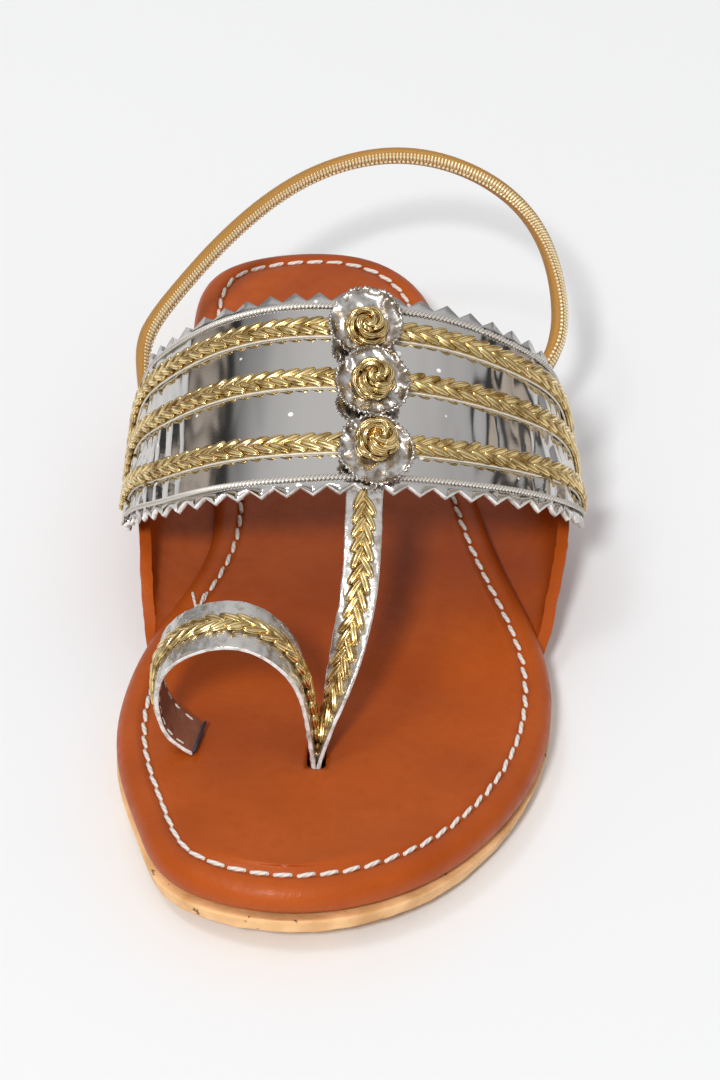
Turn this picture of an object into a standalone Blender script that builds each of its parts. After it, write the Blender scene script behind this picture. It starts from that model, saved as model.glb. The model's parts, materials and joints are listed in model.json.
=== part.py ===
"""Kolhapuri sandal, left shoe, standing empty on its sole.

A moulded sole carries a padded leather footbed. Two leather wings rise from between them at the
waist and hold a silver instep band with pinked edges. A toe strap runs from the band to a slit in
the footbed, where it meets a toe ring. Gold braids lie along band, strap and ring, three rosettes
run down the middle of the band, and a round elastic strap stands behind the heel.

+Z is up, the toe points to -Y and the little toe's side is +X. The origin is the middle of the
flat spot under the heel. "Along" is always the distance from the back of the heel.
"""
import math
from collections import namedtuple

import bmesh
import bpy
import numpy as np
from mathutils import Vector

# Driving dimensions, metres
LENGTH = 0.248
BALL_WIDTH = 0.0954
HEEL_WIDTH = 0.0628
HEEL_REST_ALONG = 0.030

SOLE_AT_HEEL = 0.0087
SOLE_AT_FOREFOOT = 0.0040
SOLE_TAPER_AT_HEEL = 0.0020
SOLE_TAPER_AT_TOE = 0.0008
SOLE_EDGE = 0.0008
ARCH_RISE = 0.0016
TOE_SPRING = 0.0052

FOOTBED_THICKNESS = 0.0080
FOOTBED_ROLL = 0.0040
STITCH_INSET = 0.0060
STITCH_GROOVE = 0.0005

WING_WALL = 0.0026
WING_FLANGE = 0.0050
WING_HEIGHT = 0.0260
WING_BOWL = 2.4
WING_DEEP_FROM = 0.35
WING_STEPS = 8

BAND_WALL = 0.0018
BAND_HEIGHT = 0.0730
PINK_TEETH = 28
PINK_DEPTH = 0.0027

STRAP_WALL = 0.0018
STRAP_WIDTH = 0.0080
STRAP_TUCK = 0.0110
STRAP_BEND_AT = 0.4
STRAP_SEAT = 0.45
SLIT_ALONG = 0.1980
SLIT_SIDE = 0.0041
SLIT_LENGTH = 0.0094
TOE_RING_REACH = 0.0334
TOE_RING_HEIGHT = 0.0338
TOE_RING_WIDTH = 0.0142
TOE_RING_LEAN = 0.12
STRIP_STEPS = 5

BRAID_WIDTH = 0.0050
BRAID_THICKNESS = 0.0010
BRAID_START = 0.01
TOE_BRAID_WIDTH = 0.0050

DISC_RADIUS = 0.0085
DISC_THICKNESS = 0.0007
DISC_TEETH = 16
DISC_NOTCH = 0.12
DISC_TILT = math.radians(14.0)
DISC_SEAT = 0.6
BUD_RADIUS = 0.0050
BUD_HEIGHT = 0.0054

ELASTIC_WIDTH = 0.0052
ELASTIC_THICKNESS = 0.0038
ELASTIC_END = 0.0015
ELASTIC_END_REACH = 0.0200
ELASTIC_HEIGHT = 0.0500
ELASTIC_SIDES = 8
ELASTIC_STEPS = 4

GAP = 0.0003
SHARP = math.radians(35)

# Where the flat spots of the sole end and the waist and toe spring begin, shares of the length
HEEL_FLAT_END = 0.30
FOREFOOT_FLAT_START = 0.56
SPRING_START = 0.65
SOLE_THINS_FROM = 0.25
SOLE_THIN_FROM = 0.70

Edge = namedtuple("Edge", "share width lateral medial")
OUTLINE = [
    Edge(0.030, HEEL_WIDTH, 0.317, -0.357),
    Edge(0.100, HEEL_WIDTH, 0.455, -0.479),
    Edge(0.220, HEEL_WIDTH, 0.503, -0.457),
    Edge(0.360, HEEL_WIDTH, 0.589, -0.377),
    Edge(0.500, BALL_WIDTH, 0.470, -0.242),
    Edge(0.640, BALL_WIDTH, 0.574, -0.371),
    Edge(0.780, BALL_WIDTH, 0.551, -0.413),
    Edge(0.890, BALL_WIDTH, 0.425, -0.350),
    Edge(0.965, BALL_WIDTH, 0.246, -0.261),
]
HEEL_BACK_SIDE = 0.060 * HEEL_WIDTH
TOE_TIP_SIDE = -0.016 * BALL_WIDTH
OUTLINE_STEPS = 4

# A wing's rim: share of the length, side as a share of the ball width, share of the wing height
Rim = namedtuple("Rim", "share side height")
MEDIAL_RIM = [
    Rim(0.640, -0.352, 0.26),
    Rim(0.600, -0.364, 0.38),
    Rim(0.555, -0.379, 0.60),
    Rim(0.506, -0.390, 0.80),
    Rim(0.452, -0.393, 0.95),
    Rim(0.395, -0.389, 1.00),
    Rim(0.298, -0.372, 0.83),
    Rim(0.246, -0.345, 0.60),
    Rim(0.190, -0.310, 0.41),
]
LATERAL_RIM = [
    Rim(0.625, 0.548, 0.27),
    Rim(0.585, 0.574, 0.40),
    Rim(0.540, 0.594, 0.62),
    Rim(0.488, 0.610, 0.86),
    Rim(0.400, 0.574, 1.00),
    Rim(0.331, 0.520, 0.93),
    Rim(0.286, 0.478, 0.78),
    Rim(0.230, 0.408, 0.56),
    Rim(0.160, 0.330, 0.41),
]

# The band's two edges from its medial to its lateral end: side as a share of the ball width,
# along as a share of the length, height as a share of the band height
Station = namedtuple("Station", "side along height")
BAND_FRONT = [
    Station(-0.430, 0.506, 0.260),
    Station(-0.406, 0.552, 0.411),
    Station(-0.341, 0.591, 0.534),
    Station(-0.220, 0.625, 0.671),
    Station(-0.052, 0.641, 0.753),
    Station(0.136, 0.637, 0.767),
    Station(0.325, 0.615, 0.705),
    Station(0.503, 0.581, 0.596),
    Station(0.618, 0.544, 0.466),
    Station(0.652, 0.474, 0.267),
]
BAND_REAR = [
    Station(-0.424, 0.351, 0.260),
    Station(-0.402, 0.359, 0.507),
    Station(-0.346, 0.387, 0.685),
    Station(-0.220, 0.417, 0.870),
    Station(-0.052, 0.435, 0.979),
    Station(0.126, 0.442, 1.000),
    Station(0.314, 0.435, 0.952),
    Station(0.472, 0.419, 0.829),
    Station(0.571, 0.387, 0.630),
    Station(0.600, 0.367, 0.267),
]
STRAP_STATION = 4.97

# Where each braid and its rosette cross the band, shares of the way from front to rear edge, the
# rosette's station, and how far its disc sits behind the bud, metres
Crossing = namedtuple("Crossing", "name at_ends at_middle rosette station setback")
CROSSINGS = [
    Crossing("front", 0.25, 0.22, 0.195, 5.05, -0.0020),
    Crossing("middle", 0.53, 0.56, 0.510, 5.01, 0.0000),
    Crossing("rear", 0.79, 0.83, 0.785, 4.93, 0.0018),
]

# A disc's rings from its middle to its pinked edge: share of its radius and of it for the rise
DISC_RINGS = [(0.12, 0.0), (0.50, 0.0), (0.84, 0.04), (1.00, 0.06)]

# The toe strap from the band's front edge to the slit: shares of the way along, of the height
# above the slit and of the sideways step still to go, and how far its quarter turn has come
Fall = namedtuple("Fall", "run height side turn")
TOE_STRAP = [
    Fall(0.00, 1.000, 1.00, 0.00),
    Fall(0.30, 0.900, 1.00, 0.00),
    Fall(0.58, 0.720, 0.95, 0.12),
    Fall(0.81, 0.470, 0.64, 0.45),
    Fall(0.94, 0.220, 0.27, 0.85),
    Fall(1.00, 0.000, 0.00, 1.00),
]

# The toe ring from the slit over the big toe's place to its free end: shares of its reach to the
# medial side, of its height, of its width for a shift to the heel, and its own width
Bend = namedtuple("Bend", "reach height shift width")
TOE_RING = [
    Bend(0.00, 0.00, 0.00, 0.64),
    Bend(0.03, 0.24, 0.00, 0.70),
    Bend(0.10, 0.61, 0.02, 0.86),
    Bend(0.25, 0.87, 0.04, 0.98),
    Bend(0.49, 1.00, 0.06, 1.00),
    Bend(0.76, 0.93, 0.14, 1.00),
    Bend(0.95, 0.73, 0.24, 0.98),
    Bend(1.00, 0.46, 0.29, 0.92),
    Bend(0.92, 0.19, 0.26, 0.82),
    Bend(0.74, 0.02, 0.18, 0.72),
]

# The heel strap's middle line: side as a share of the ball width, along as a share of the
# length, height as a share of the strap's height, and its lean to the inside
Loop = namedtuple("Loop", "side along height lean")
HEEL_STRAP = [
    Loop(-0.420, 0.318, 0.38, 0.00),
    Loop(-0.430, 0.285, 0.50, 0.05),
    Loop(-0.424, 0.255, 0.60, 0.15),
    Loop(-0.345, 0.198, 0.71, 0.35),
    Loop(-0.240, 0.142, 0.82, 0.55),
    Loop(-0.060, 0.072, 0.94, 0.70),
    Loop(0.150, 0.038, 1.00, 0.75),
    Loop(0.325, 0.045, 0.99, 0.75),
    Loop(0.470, 0.078, 0.93, 0.70),
    Loop(0.562, 0.130, 0.84, 0.55),
    Loop(0.602, 0.195, 0.72, 0.35),
    Loop(0.592, 0.248, 0.60, 0.15),
    Loop(0.550, 0.278, 0.49, 0.05),
    Loop(0.540, 0.298, 0.38, 0.00),
]

MATERIALS = {
    "sole_rubber": ((0.83, 0.43, 0.17), 0.55, 0.0),
    "tan_leather": ((0.52, 0.09, 0.022), 0.42, 0.0),
    "silver_foil": ((0.62, 0.61, 0.59), 0.18, 0.9),
    "gold_braid": ((0.62, 0.42, 0.10), 0.35, 0.8),
    "gold_elastic": ((0.60, 0.33, 0.08), 0.50, 0.2),
}


def clear_scene():
    """Empties the file of objects and makes the sandal's own collections."""
    for old in list(bpy.data.objects):
        bpy.data.objects.remove(old, do_unlink=True)
    collections = []
    for name in ("kolhapuri_sandal", "cutters"):
        collection = bpy.data.collections.new(name)
        bpy.context.scene.collection.children.link(collection)
        collections.append(collection)
    return collections


def material(name):
    """The named material, made on first use."""
    found = bpy.data.materials.get(name)
    if found:
        return found
    colour, roughness, metallic = MATERIALS[name]
    made = bpy.data.materials.new(name)
    made.use_nodes = True
    shader = made.node_tree.nodes["Principled BSDF"]
    shader.inputs["Base Color"].default_value = (*colour, 1.0)
    shader.inputs["Roughness"].default_value = roughness
    shader.inputs["Metallic"].default_value = metallic
    return made


def place(side, along, height):
    """World point from a side, a distance from the back of the heel and a height."""
    return Vector((side, HEEL_REST_ALONG - along, height))


def smooth(points, places, closed=False):
    """Cubic spline through the points; place 2.5 is halfway from point 2 to point 3."""
    points = np.array(points, float)
    count = len(points)
    ahead = np.roll(points, -1, axis=0)
    steps = np.linalg.norm(ahead - points, axis=1) ** 0.5
    bends = np.eye(count)
    sides = np.zeros_like(points)
    for i in range(count):
        if not closed and i in (0, count - 1):
            continue
        before, after = steps[i - 1], steps[i]
        bends[i, i] = 2 * (before + after)
        bends[i, i - 1] = before
        bends[i, (i + 1) % count] = after
        sides[i] = 6 * ((ahead[i] - points[i]) / after - (points[i] - points[i - 1]) / before)
    curve = np.linalg.solve(bends, sides)
    spans = count if closed else count - 1
    result = []
    for spot in places:
        i = min(int(spot), spans - 1)
        j = (i + 1) % count
        step = steps[i]
        done = (spot - i) * step
        left = step - done
        result.append((curve[i] * left ** 3 + curve[j] * done ** 3) / (6 * step)
                      + (points[i] / step - curve[i] * step / 6) * left
                      + (points[j] / step - curve[j] * step / 6) * done)
    return [Vector(row) for row in result]


def ease(value, start, end):
    """0 before start, 1 after end and straight between them."""
    return min(max((value - start) / (end - start), 0.0), 1.0)


def sole_bottom(share):
    """Height of the sole's underside: flat heel, low waist, flat forefoot, toe spring."""
    waist = ease(share, HEEL_FLAT_END, FOREFOOT_FLAT_START)
    spring = max((share - SPRING_START) / (1 - SPRING_START), 0.0)
    return ARCH_RISE * math.sin(math.pi * waist) ** 2 + TOE_SPRING * spring ** 2


def sole_top(share):
    """Height of the sole's upper face, thicker under the heel."""
    thin = ease(share, SOLE_THINS_FROM, SOLE_THIN_FROM)
    spring = max((share - SPRING_START) / (1 - SPRING_START), 0.0)
    return SOLE_AT_HEEL + (SOLE_AT_FOREFOOT - SOLE_AT_HEEL) * thin + TOE_SPRING * spring ** 2


def foot_height(share):
    """Height of the footbed's upper face."""
    return sole_top(share) + FOOTBED_THICKNESS


def outline_points():
    """The footprint as a closed ring of (side, along), from the heel round by the lateral side."""
    lateral = [(row.lateral * row.width, row.share * LENGTH) for row in OUTLINE]
    medial = [(row.medial * row.width, row.share * LENGTH) for row in reversed(OUTLINE)]
    points = [(HEEL_BACK_SIDE, 0.0), *lateral, (TOE_TIP_SIDE, LENGTH), *medial]
    count = len(points) * OUTLINE_STEPS
    return smooth(points, [i / OUTLINE_STEPS for i in range(count)], closed=True)


FOOTPRINT = outline_points()


def edge_side(share, lateral):
    """How far out the footprint lies at a share of the length, on one side."""
    half = len(FOOTPRINT) // 2
    ring = FOOTPRINT[:half + 1] if lateral else [FOOTPRINT[0], *reversed(FOOTPRINT[half:])]
    return float(np.interp(share * LENGTH, [p.y for p in ring], [p.x for p in ring]))


def inset_ring(inset, height):
    """The footprint moved inward by inset(share), at height(share)."""
    count = len(FOOTPRINT)
    ring = []
    for i, point in enumerate(FOOTPRINT):
        run = FOOTPRINT[(i + 1) % count] - FOOTPRINT[i - 1]
        inward = Vector((-run.y, run.x)).normalized()
        share = point.y / LENGTH
        moved = point + inward * inset(share)
        ring.append(place(moved.x, moved.y, height(share)))
    return ring


def finish(name, mesh, surface, collection):
    """Makes the mesh an object of the sandal with the named material."""
    made = bpy.data.objects.new(name, mesh)
    mesh.materials.clear()
    mesh.materials.append(material(surface))
    mesh.shade_smooth()
    mesh.set_sharp_from_angle(angle=SHARP)
    collection.objects.link(made)
    return made


def mesh_from(name, build):
    """A mesh filled in by build(bmesh), with its faces pointing out."""
    work = bmesh.new()
    build(work)
    bmesh.ops.recalc_face_normals(work, faces=work.faces)
    mesh = bpy.data.meshes.new(name)
    work.to_mesh(mesh)
    work.free()
    return mesh


def stacked_rings(rings):
    """A solid through the rings, closed by strips from side to side at both ends."""
    def build(work):
        levels = [[work.verts.new(point) for point in ring] for ring in rings]
        count = len(rings[0])
        for below, above in zip(levels, levels[1:]):
            for i in range(count):
                j = (i + 1) % count
                work.faces.new((below[i], below[j], above[j], above[i]))
        for level in (levels[0], levels[-1]):
            work.faces.new((level[0], level[1], level[-1]))
            for i in range(1, count // 2 - 1):
                work.faces.new((level[i], level[i + 1], level[-i - 1], level[-i]))
            middle = count // 2
            work.faces.new((level[middle - 1], level[middle], level[middle + 1]))
    return build


def sheet(rows):
    """An open surface through rows of points, all rows of one length."""
    def build(work):
        grid = [[work.verts.new(point) for point in row] for row in rows]
        for near, far in zip(grid, grid[1:]):
            for i in range(len(near) - 1):
                work.faces.new((near[i], near[i + 1], far[i + 1], far[i]))
    return build


def evaluated(item):
    """The object's mesh with its modifiers applied; the object goes."""
    depsgraph = bpy.context.evaluated_depsgraph_get()
    mesh = bpy.data.meshes.new_from_object(item.evaluated_get(depsgraph))
    bpy.data.objects.remove(item, do_unlink=True)
    return mesh


def wall(name, rows, thickness, surface, collection):
    """A wall of even thickness, half on each side of the sheet through the rows."""
    item = finish(name, mesh_from(name, sheet(rows)), surface, collection)
    shell = item.modifiers.new("wall", "SOLIDIFY")
    shell.thickness = thickness
    shell.offset = 0.0
    shell.use_even_offset = True
    return finish(name, evaluated(item), surface, collection)


def body_of(vertex):
    """All vertices that hang together with this one."""
    found = {vertex}
    fresh = [vertex]
    while fresh:
        for edge in fresh.pop().link_edges:
            for end in edge.verts:
                if end not in found:
                    found.add(end)
                    fresh.append(end)
    return found


def without_slivers(mesh):
    """Keeps the mesh's largest body and drops crumbs that a cut leaves at a thin edge."""
    work = bmesh.new()
    work.from_mesh(mesh)
    left = set(work.verts)
    bodies = []
    while left:
        bodies.append(body_of(next(iter(left))))
        left -= bodies[-1]
    largest = max(bodies, key=len)
    crumbs = [vertex for vertex in work.verts if vertex not in largest]
    bmesh.ops.delete(work, geom=crumbs, context="VERTS")
    work.to_mesh(mesh)
    work.free()
    return mesh


def boolean(item, other, operation):
    """Cuts or joins item with other, which is removed when it is joined."""
    step = item.modifiers.new(operation.lower(), "BOOLEAN")
    step.operation = operation
    step.object = other
    step.solver = "EXACT"
    step.use_self = True
    name = item.name
    collection = item.users_collection[0]
    surface = item.data.materials[0].name
    mesh = without_slivers(evaluated(item))
    if operation == "UNION":
        bpy.data.objects.remove(other, do_unlink=True)
    return finish(name, mesh, surface, collection)


def as_cutter(item, cutters):
    """Moves an object among the cutters, shown as wire and never rendered."""
    for collection in item.users_collection:
        collection.objects.unlink(item)
    cutters.objects.link(item)
    item.hide_render = True
    item.display_type = "WIRE"
    return item


def make_outsole(sandal):
    """The moulded sole: sides that draw in towards the floor, with a small rounded lower edge."""
    def taper(share):
        return SOLE_TAPER_AT_HEEL + (SOLE_TAPER_AT_TOE - SOLE_TAPER_AT_HEEL) * share

    rings = [
        inset_ring(lambda s: taper(s) + SOLE_EDGE, sole_bottom),
        inset_ring(taper, lambda s: sole_bottom(s) + SOLE_EDGE),
        inset_ring(lambda s: 0.0, sole_top),
    ]
    return finish("outsole", mesh_from("outsole", stacked_rings(rings)), "sole_rubber", sandal)


def make_footbed(sandal):
    """The padded board: a rolled edge all round, then the shallow groove of the stitching."""
    half = (FOOTBED_THICKNESS - GAP) / 2
    rings = []
    for angle in range(-90, 91, 30):
        out = math.cos(math.radians(angle))
        up = math.sin(math.radians(angle))
        rings.append(inset_ring(lambda s, out=out: FOOTBED_ROLL * (1 - out),
                                lambda s, up=up: foot_height(s) - half * (1 - up)))
    rings.append(inset_ring(lambda s: STITCH_INSET, lambda s: foot_height(s) - STITCH_GROOVE))
    rings.append(inset_ring(lambda s: STITCH_INSET + FOOTBED_ROLL / 2, foot_height))
    return finish("footbed", mesh_from("footbed", stacked_rings(rings)), "tan_leather", sandal)


def wing_rows(rim, lateral):
    """Rows of a wing, each from under the footbed's edge out and up to the rim."""
    steps = 2
    count = (len(rim) - 1) * steps + 1
    points = [(row.share * LENGTH, row.side * BALL_WIDTH, row.height * WING_HEIGHT) for row in rim]
    out = 1.0 if lateral else -1.0
    rows = []
    for along, side, height in smooth(points, [i / steps for i in range(count)]):
        share = along / LENGTH
        low = sole_top(share) + WING_WALL / 2 + GAP
        root = edge_side(share, lateral) - out * WING_FLANGE
        row = []
        bowl = 1 + (WING_BOWL - 1) * ease(height - low, 0.0, WING_HEIGHT * WING_DEEP_FROM)
        for k in range(WING_STEPS + 1):
            reach = 1 - (1 - k / WING_STEPS) ** bowl
            rise = (k / WING_STEPS) ** bowl
            row.append(place(root + (side - root) * reach, along, low + (height - low) * rise))
        rows.append(row)
    return rows


def past_end(points, beside, by):
    """Each point moved on by a distance, away from the one beside it."""
    return [point + (point - other).normalized() * by for point, other in zip(points, beside)]


def grown_rows(rows, by):
    """The sheet carried on past all four of its edges."""
    wide = [[*past_end(row[:1], row[1:], by), *row, *past_end(row[-1:], row[-2:], by)]
            for row in rows]
    return [past_end(wide[0], wide[1], by), *wide, past_end(wide[-1], wide[-2], by)]


def make_wing(name, rim, lateral, sandal, cutters):
    """A wing and the cutter that makes room for its root under the footbed's edge."""
    rows = wing_rows(rim, lateral)
    wall(name, rows, WING_WALL, "tan_leather", sandal)
    room = wall(f"room_for_{name}", grown_rows(rows, 2 * GAP), WING_WALL + 2 * GAP,
                "tan_leather", sandal)
    return as_cutter(room, cutters)


def band_edge(stations, place_on):
    """Points along one edge of the band at the given station places."""
    points = [place(row.side * BALL_WIDTH, row.along * LENGTH, row.height * BAND_HEIGHT)
              for row in stations]
    return smooth(points, place_on)


def band_point(station, across):
    """Point on the band's middle surface, its outward normal and its front-to-rear direction."""
    last = len(BAND_FRONT) - 1
    step = 0.05
    low, high = max(station - step, 0.0), min(station + step, last)
    front = band_edge(BAND_FRONT, (low, station, high))
    rear = band_edge(BAND_REAR, (low, station, high))
    point = front[1].lerp(rear[1], across)
    run = front[2].lerp(rear[2], across) - front[0].lerp(rear[0], across)
    width = (rear[1] - front[1]).normalized()
    return point, run.cross(width).normalized(), width


def band_rows():
    """Rows from the pinked front edge to the pinked rear edge."""
    last = len(BAND_FRONT) - 1
    columns = 2 * PINK_TEETH + 1
    places = [last * i / (columns - 1) for i in range(columns)]
    front = band_edge(BAND_FRONT, places)
    rear = band_edge(BAND_REAR, places)
    shares = (0.0, 0.2, 0.4, 0.6, 0.8, 1.0)
    rows = [[] for _ in range(len(shares) + 2)]
    for i, (near, far) in enumerate(zip(front, rear)):
        width = (far - near).normalized()
        tooth = PINK_DEPTH if i % 2 else PINK_DEPTH / 8
        inner_near = near + width * PINK_DEPTH / 2
        inner_far = far - width * PINK_DEPTH / 2
        rows[0].append(inner_near - width * tooth)
        for k, share in enumerate(shares):
            rows[k + 1].append(inner_near.lerp(inner_far, share))
        rows[-1].append(inner_far + width * tooth)
    return rows


def slit_foot():
    """The point of the footbed's upper face in the middle of the slit."""
    return place(SLIT_SIDE, SLIT_ALONG, foot_height(SLIT_ALONG / LENGTH))


def post_depth():
    """How far the toe strap and ring go down through the slit."""
    return FOOTBED_THICKNESS - 2 * GAP


def station_places(points, steps):
    """Places along a spline with the given steps from each of its points to the next."""
    return [i / steps for i in range((len(points) - 1) * steps + 1)]


def strap_stations():
    """Toe strap as (middle point, direction of its width), from under the band to the slit."""
    top, out, width = band_point(STRAP_STATION, 0.0)
    start = top + width * STRAP_TUCK * STRAP_BEND_AT - out * STRAP_WALL * STRAP_SEAT
    foot = slit_foot() + Vector((STRAP_WALL * STRAP_SEAT, 0, 0))
    points = []
    for row in TOE_STRAP:
        points.append((foot.x + (start.x - foot.x) * row.side,
                       start.y + (foot.y - start.y) * row.run,
                       foot.z + (start.z - foot.z) * row.height))
    points.insert(0, tuple(start + width * STRAP_TUCK * (1 - STRAP_BEND_AT)))
    points.append((foot.x, foot.y, foot.z - post_depth()))
    turns = [0.0, *(row.turn for row in TOE_STRAP), 1.0]
    places = station_places(points, STRIP_STEPS)
    line = smooth(points, places)
    angles = np.interp(places, range(len(turns)), turns) * math.pi / 2
    return [(point, turned_width(line, i, Vector((math.cos(angles[i]), -math.sin(angles[i]), 0))))
            for i, point in enumerate(line)]


def turned_width(line, index, wish):
    """The wished direction, made square to the line's own direction at that point."""
    run = direction(line, index)
    return (wish - run * wish.dot(run)).normalized()


def direction(line, index):
    """Direction of a line of points at one of them."""
    return (line[min(index + 1, len(line) - 1)] - line[max(index - 1, 0)]).normalized()


def ring_stations():
    """Toe ring as (middle point, direction of its width, width), from the slit to its end."""
    foot = slit_foot() - Vector((STRAP_WALL * STRAP_SEAT, 0, 0))
    points = [foot + Vector((-row.reach * TOE_RING_REACH, row.shift * TOE_RING_WIDTH,
                             row.height * TOE_RING_HEIGHT)) for row in TOE_RING]
    end_lift = Vector((0, 0, STRAP_WALL / 2 + GAP))
    points[-1] = points[-1] + end_lift
    points.insert(0, foot - Vector((0, 0, post_depth())))
    widths = [TOE_RING[0].width, *(row.width for row in TOE_RING)]
    places = station_places(points, STRIP_STEPS)
    line = smooth(points, places)
    wide = np.interp(places, range(len(widths)), widths) * TOE_RING_WIDTH
    return [(point, turned_width(line, i, Vector((0, -1, -TOE_RING_LEAN))), wide[i])
            for i, point in enumerate(line)]


def ribbon_rows(stations):
    """Rows across a ribbon given as (middle point, direction of its width, width)."""
    return [[point - width * wide / 2, point, point + width * wide / 2]
            for point, width, wide in stations]


def lifted(stations, lift):
    """The stations moved off the ribbon to its outer side."""
    line = [row[0] for row in stations]
    moved = []
    for i, (point, width, wide) in enumerate(stations):
        normal = direction(line, i).cross(width).normalized()
        moved.append((point + normal * lift, width, wide))
    return moved


def make_upper(sandal):
    """Band, toe strap and toe ring as one open wall."""
    upper = wall("upper", band_rows(), BAND_WALL, "silver_foil", sandal)
    strap = [(point, width, STRAP_WIDTH) for point, width in strap_stations()]
    strap = wall("toe_strap", ribbon_rows(strap), STRAP_WALL, "silver_foil", sandal)
    ring = wall("toe_ring", ribbon_rows(ring_stations()), STRAP_WALL, "silver_foil", sandal)
    upper = boolean(upper, strap, "UNION")
    return boolean(upper, ring, "UNION")


def cut_slit(footbed, sandal, cutters):
    """Cuts the slit for the toe strap and ring through the footbed."""
    foot = slit_foot()
    bpy.ops.mesh.primitive_cube_add(size=1)
    room = bpy.context.object
    room.name = "room_for_toe_post"
    room.location = foot
    room.scale = (2 * STRAP_WALL + 2 * GAP, SLIT_LENGTH + 2 * GAP, 4 * FOOTBED_THICKNESS)
    bpy.ops.object.transform_apply(location=False, rotation=False, scale=True)
    as_cutter(room, cutters)
    return boolean(footbed, room, "DIFFERENCE")


def make_band_braid(crossing, sandal):
    """A braid across the band from wing to wing, under its rosette."""
    last = len(BAND_FRONT) - 1
    columns = PINK_TEETH
    lift = BAND_WALL / 2 + GAP + BRAID_THICKNESS / 2
    rows = []
    for i in range(columns + 1):
        share = BRAID_START + (1 - 2 * BRAID_START) * i / columns
        middle = math.sin(math.pi * share)
        across = crossing.at_ends + (crossing.at_middle - crossing.at_ends) * middle
        point, out, width = band_point(last * share, across)
        rows.append([point + out * lift + width * BRAID_WIDTH * k for k in (-0.5, 0.0, 0.5)])
    name = f"braid_{crossing.name}"
    return wall(name, rows, BRAID_THICKNESS, "gold_braid", sandal)


def make_toe_braids(sandal):
    """Braids down the toe strap and round the toe ring, ended where the two faces close up."""
    lift = STRAP_WALL / 2 + GAP + BRAID_THICKNESS / 2
    strap = [(point, width, TOE_BRAID_WIDTH) for point, width in strap_stations()]
    strap = lifted(strap, lift)[2 * STRIP_STEPS - 2:1 - 2 * STRIP_STEPS]
    wall("braid_toe_strap", ribbon_rows(strap), BRAID_THICKNESS, "gold_braid", sandal)
    ring = [(point, width, TOE_BRAID_WIDTH) for point, width, _ in ring_stations()]
    ring = lifted(ring, lift)[2 * STRIP_STEPS + 1:-2]
    wall("braid_toe_ring", ribbon_rows(ring), BRAID_THICKNESS, "gold_braid", sandal)


def make_rosette(crossing, sandal):
    """A pinked, slightly cupped disc and the knotted bud on it, lapped like tiles."""
    point, out, width = band_point(crossing.station, crossing.rosette)
    tilt = width * math.cos(DISC_TILT) + out * math.sin(DISC_TILT)
    normal = (out * math.cos(DISC_TILT) - width * math.sin(DISC_TILT)).normalized()
    side = tilt.cross(normal)
    lift = BAND_WALL / 2 + BRAID_THICKNESS + 2 * GAP + DISC_THICKNESS / 2
    base = point + out * (lift + DISC_RADIUS * math.sin(DISC_TILT) * DISC_SEAT)
    middle = base + tilt * crossing.setback
    rows = []
    for radius, rise in DISC_RINGS:
        row = []
        for k in range(2 * DISC_TEETH + 1):
            angle = math.pi * k / DISC_TEETH
            notch = DISC_NOTCH if radius == 1.0 and k % 2 else 0.0
            reach = radius * (1 - notch) * DISC_RADIUS
            row.append(middle + (tilt * math.cos(angle) + side * math.sin(angle)) * reach
                       + normal * rise * DISC_RADIUS)
        rows.append(row)
    name = f"disc_{crossing.name}"
    mesh = mesh_from(name, disc_faces(rows))
    item = finish(name, mesh, "silver_foil", sandal)
    shell = item.modifiers.new("wall", "SOLIDIFY")
    shell.thickness = DISC_THICKNESS
    shell.offset = 0.0
    finish(name, evaluated(item), "silver_foil", sandal)
    bpy.ops.mesh.primitive_uv_sphere_add(segments=14, ring_count=8, radius=1.0)
    bud = bpy.context.object
    bud.data.transform(bud.matrix_world)
    bud.scale = (BUD_RADIUS, BUD_RADIUS, BUD_HEIGHT / 2)
    bud.rotation_euler = normal.to_track_quat("Z", "Y").to_euler()
    bud.location = base + normal * (DISC_THICKNESS / 2 + GAP + BUD_HEIGHT / 2)
    bpy.ops.object.transform_apply(location=True, rotation=True, scale=True)
    mesh = bud.data.copy()
    bpy.data.objects.remove(bud, do_unlink=True)
    finish(f"bud_{crossing.name}", mesh, "gold_braid", sandal)


def disc_faces(rows):
    """A disc through rings of points whose first and last point coincide."""
    def build(work):
        rings = [[work.verts.new(point) for point in row[:-1]] for row in rows]
        count = len(rings[0])
        work.faces.new(rings[0])
        for inner, outer in zip(rings, rings[1:]):
            for i in range(count):
                j = (i + 1) % count
                work.faces.new((inner[i], inner[j], outer[j], outer[i]))
    return build


def tube(rings):
    """A solid through rings of points, closed by a face at both ends."""
    def build(work):
        levels = [[work.verts.new(point) for point in ring] for ring in rings]
        for near, far in zip(levels, levels[1:]):
            for i in range(len(near)):
                j = (i + 1) % len(near)
                work.faces.new((near[i], near[j], far[j], far[i]))
        work.faces.new(levels[0])
        work.faces.new(levels[-1])
    return build


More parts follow.
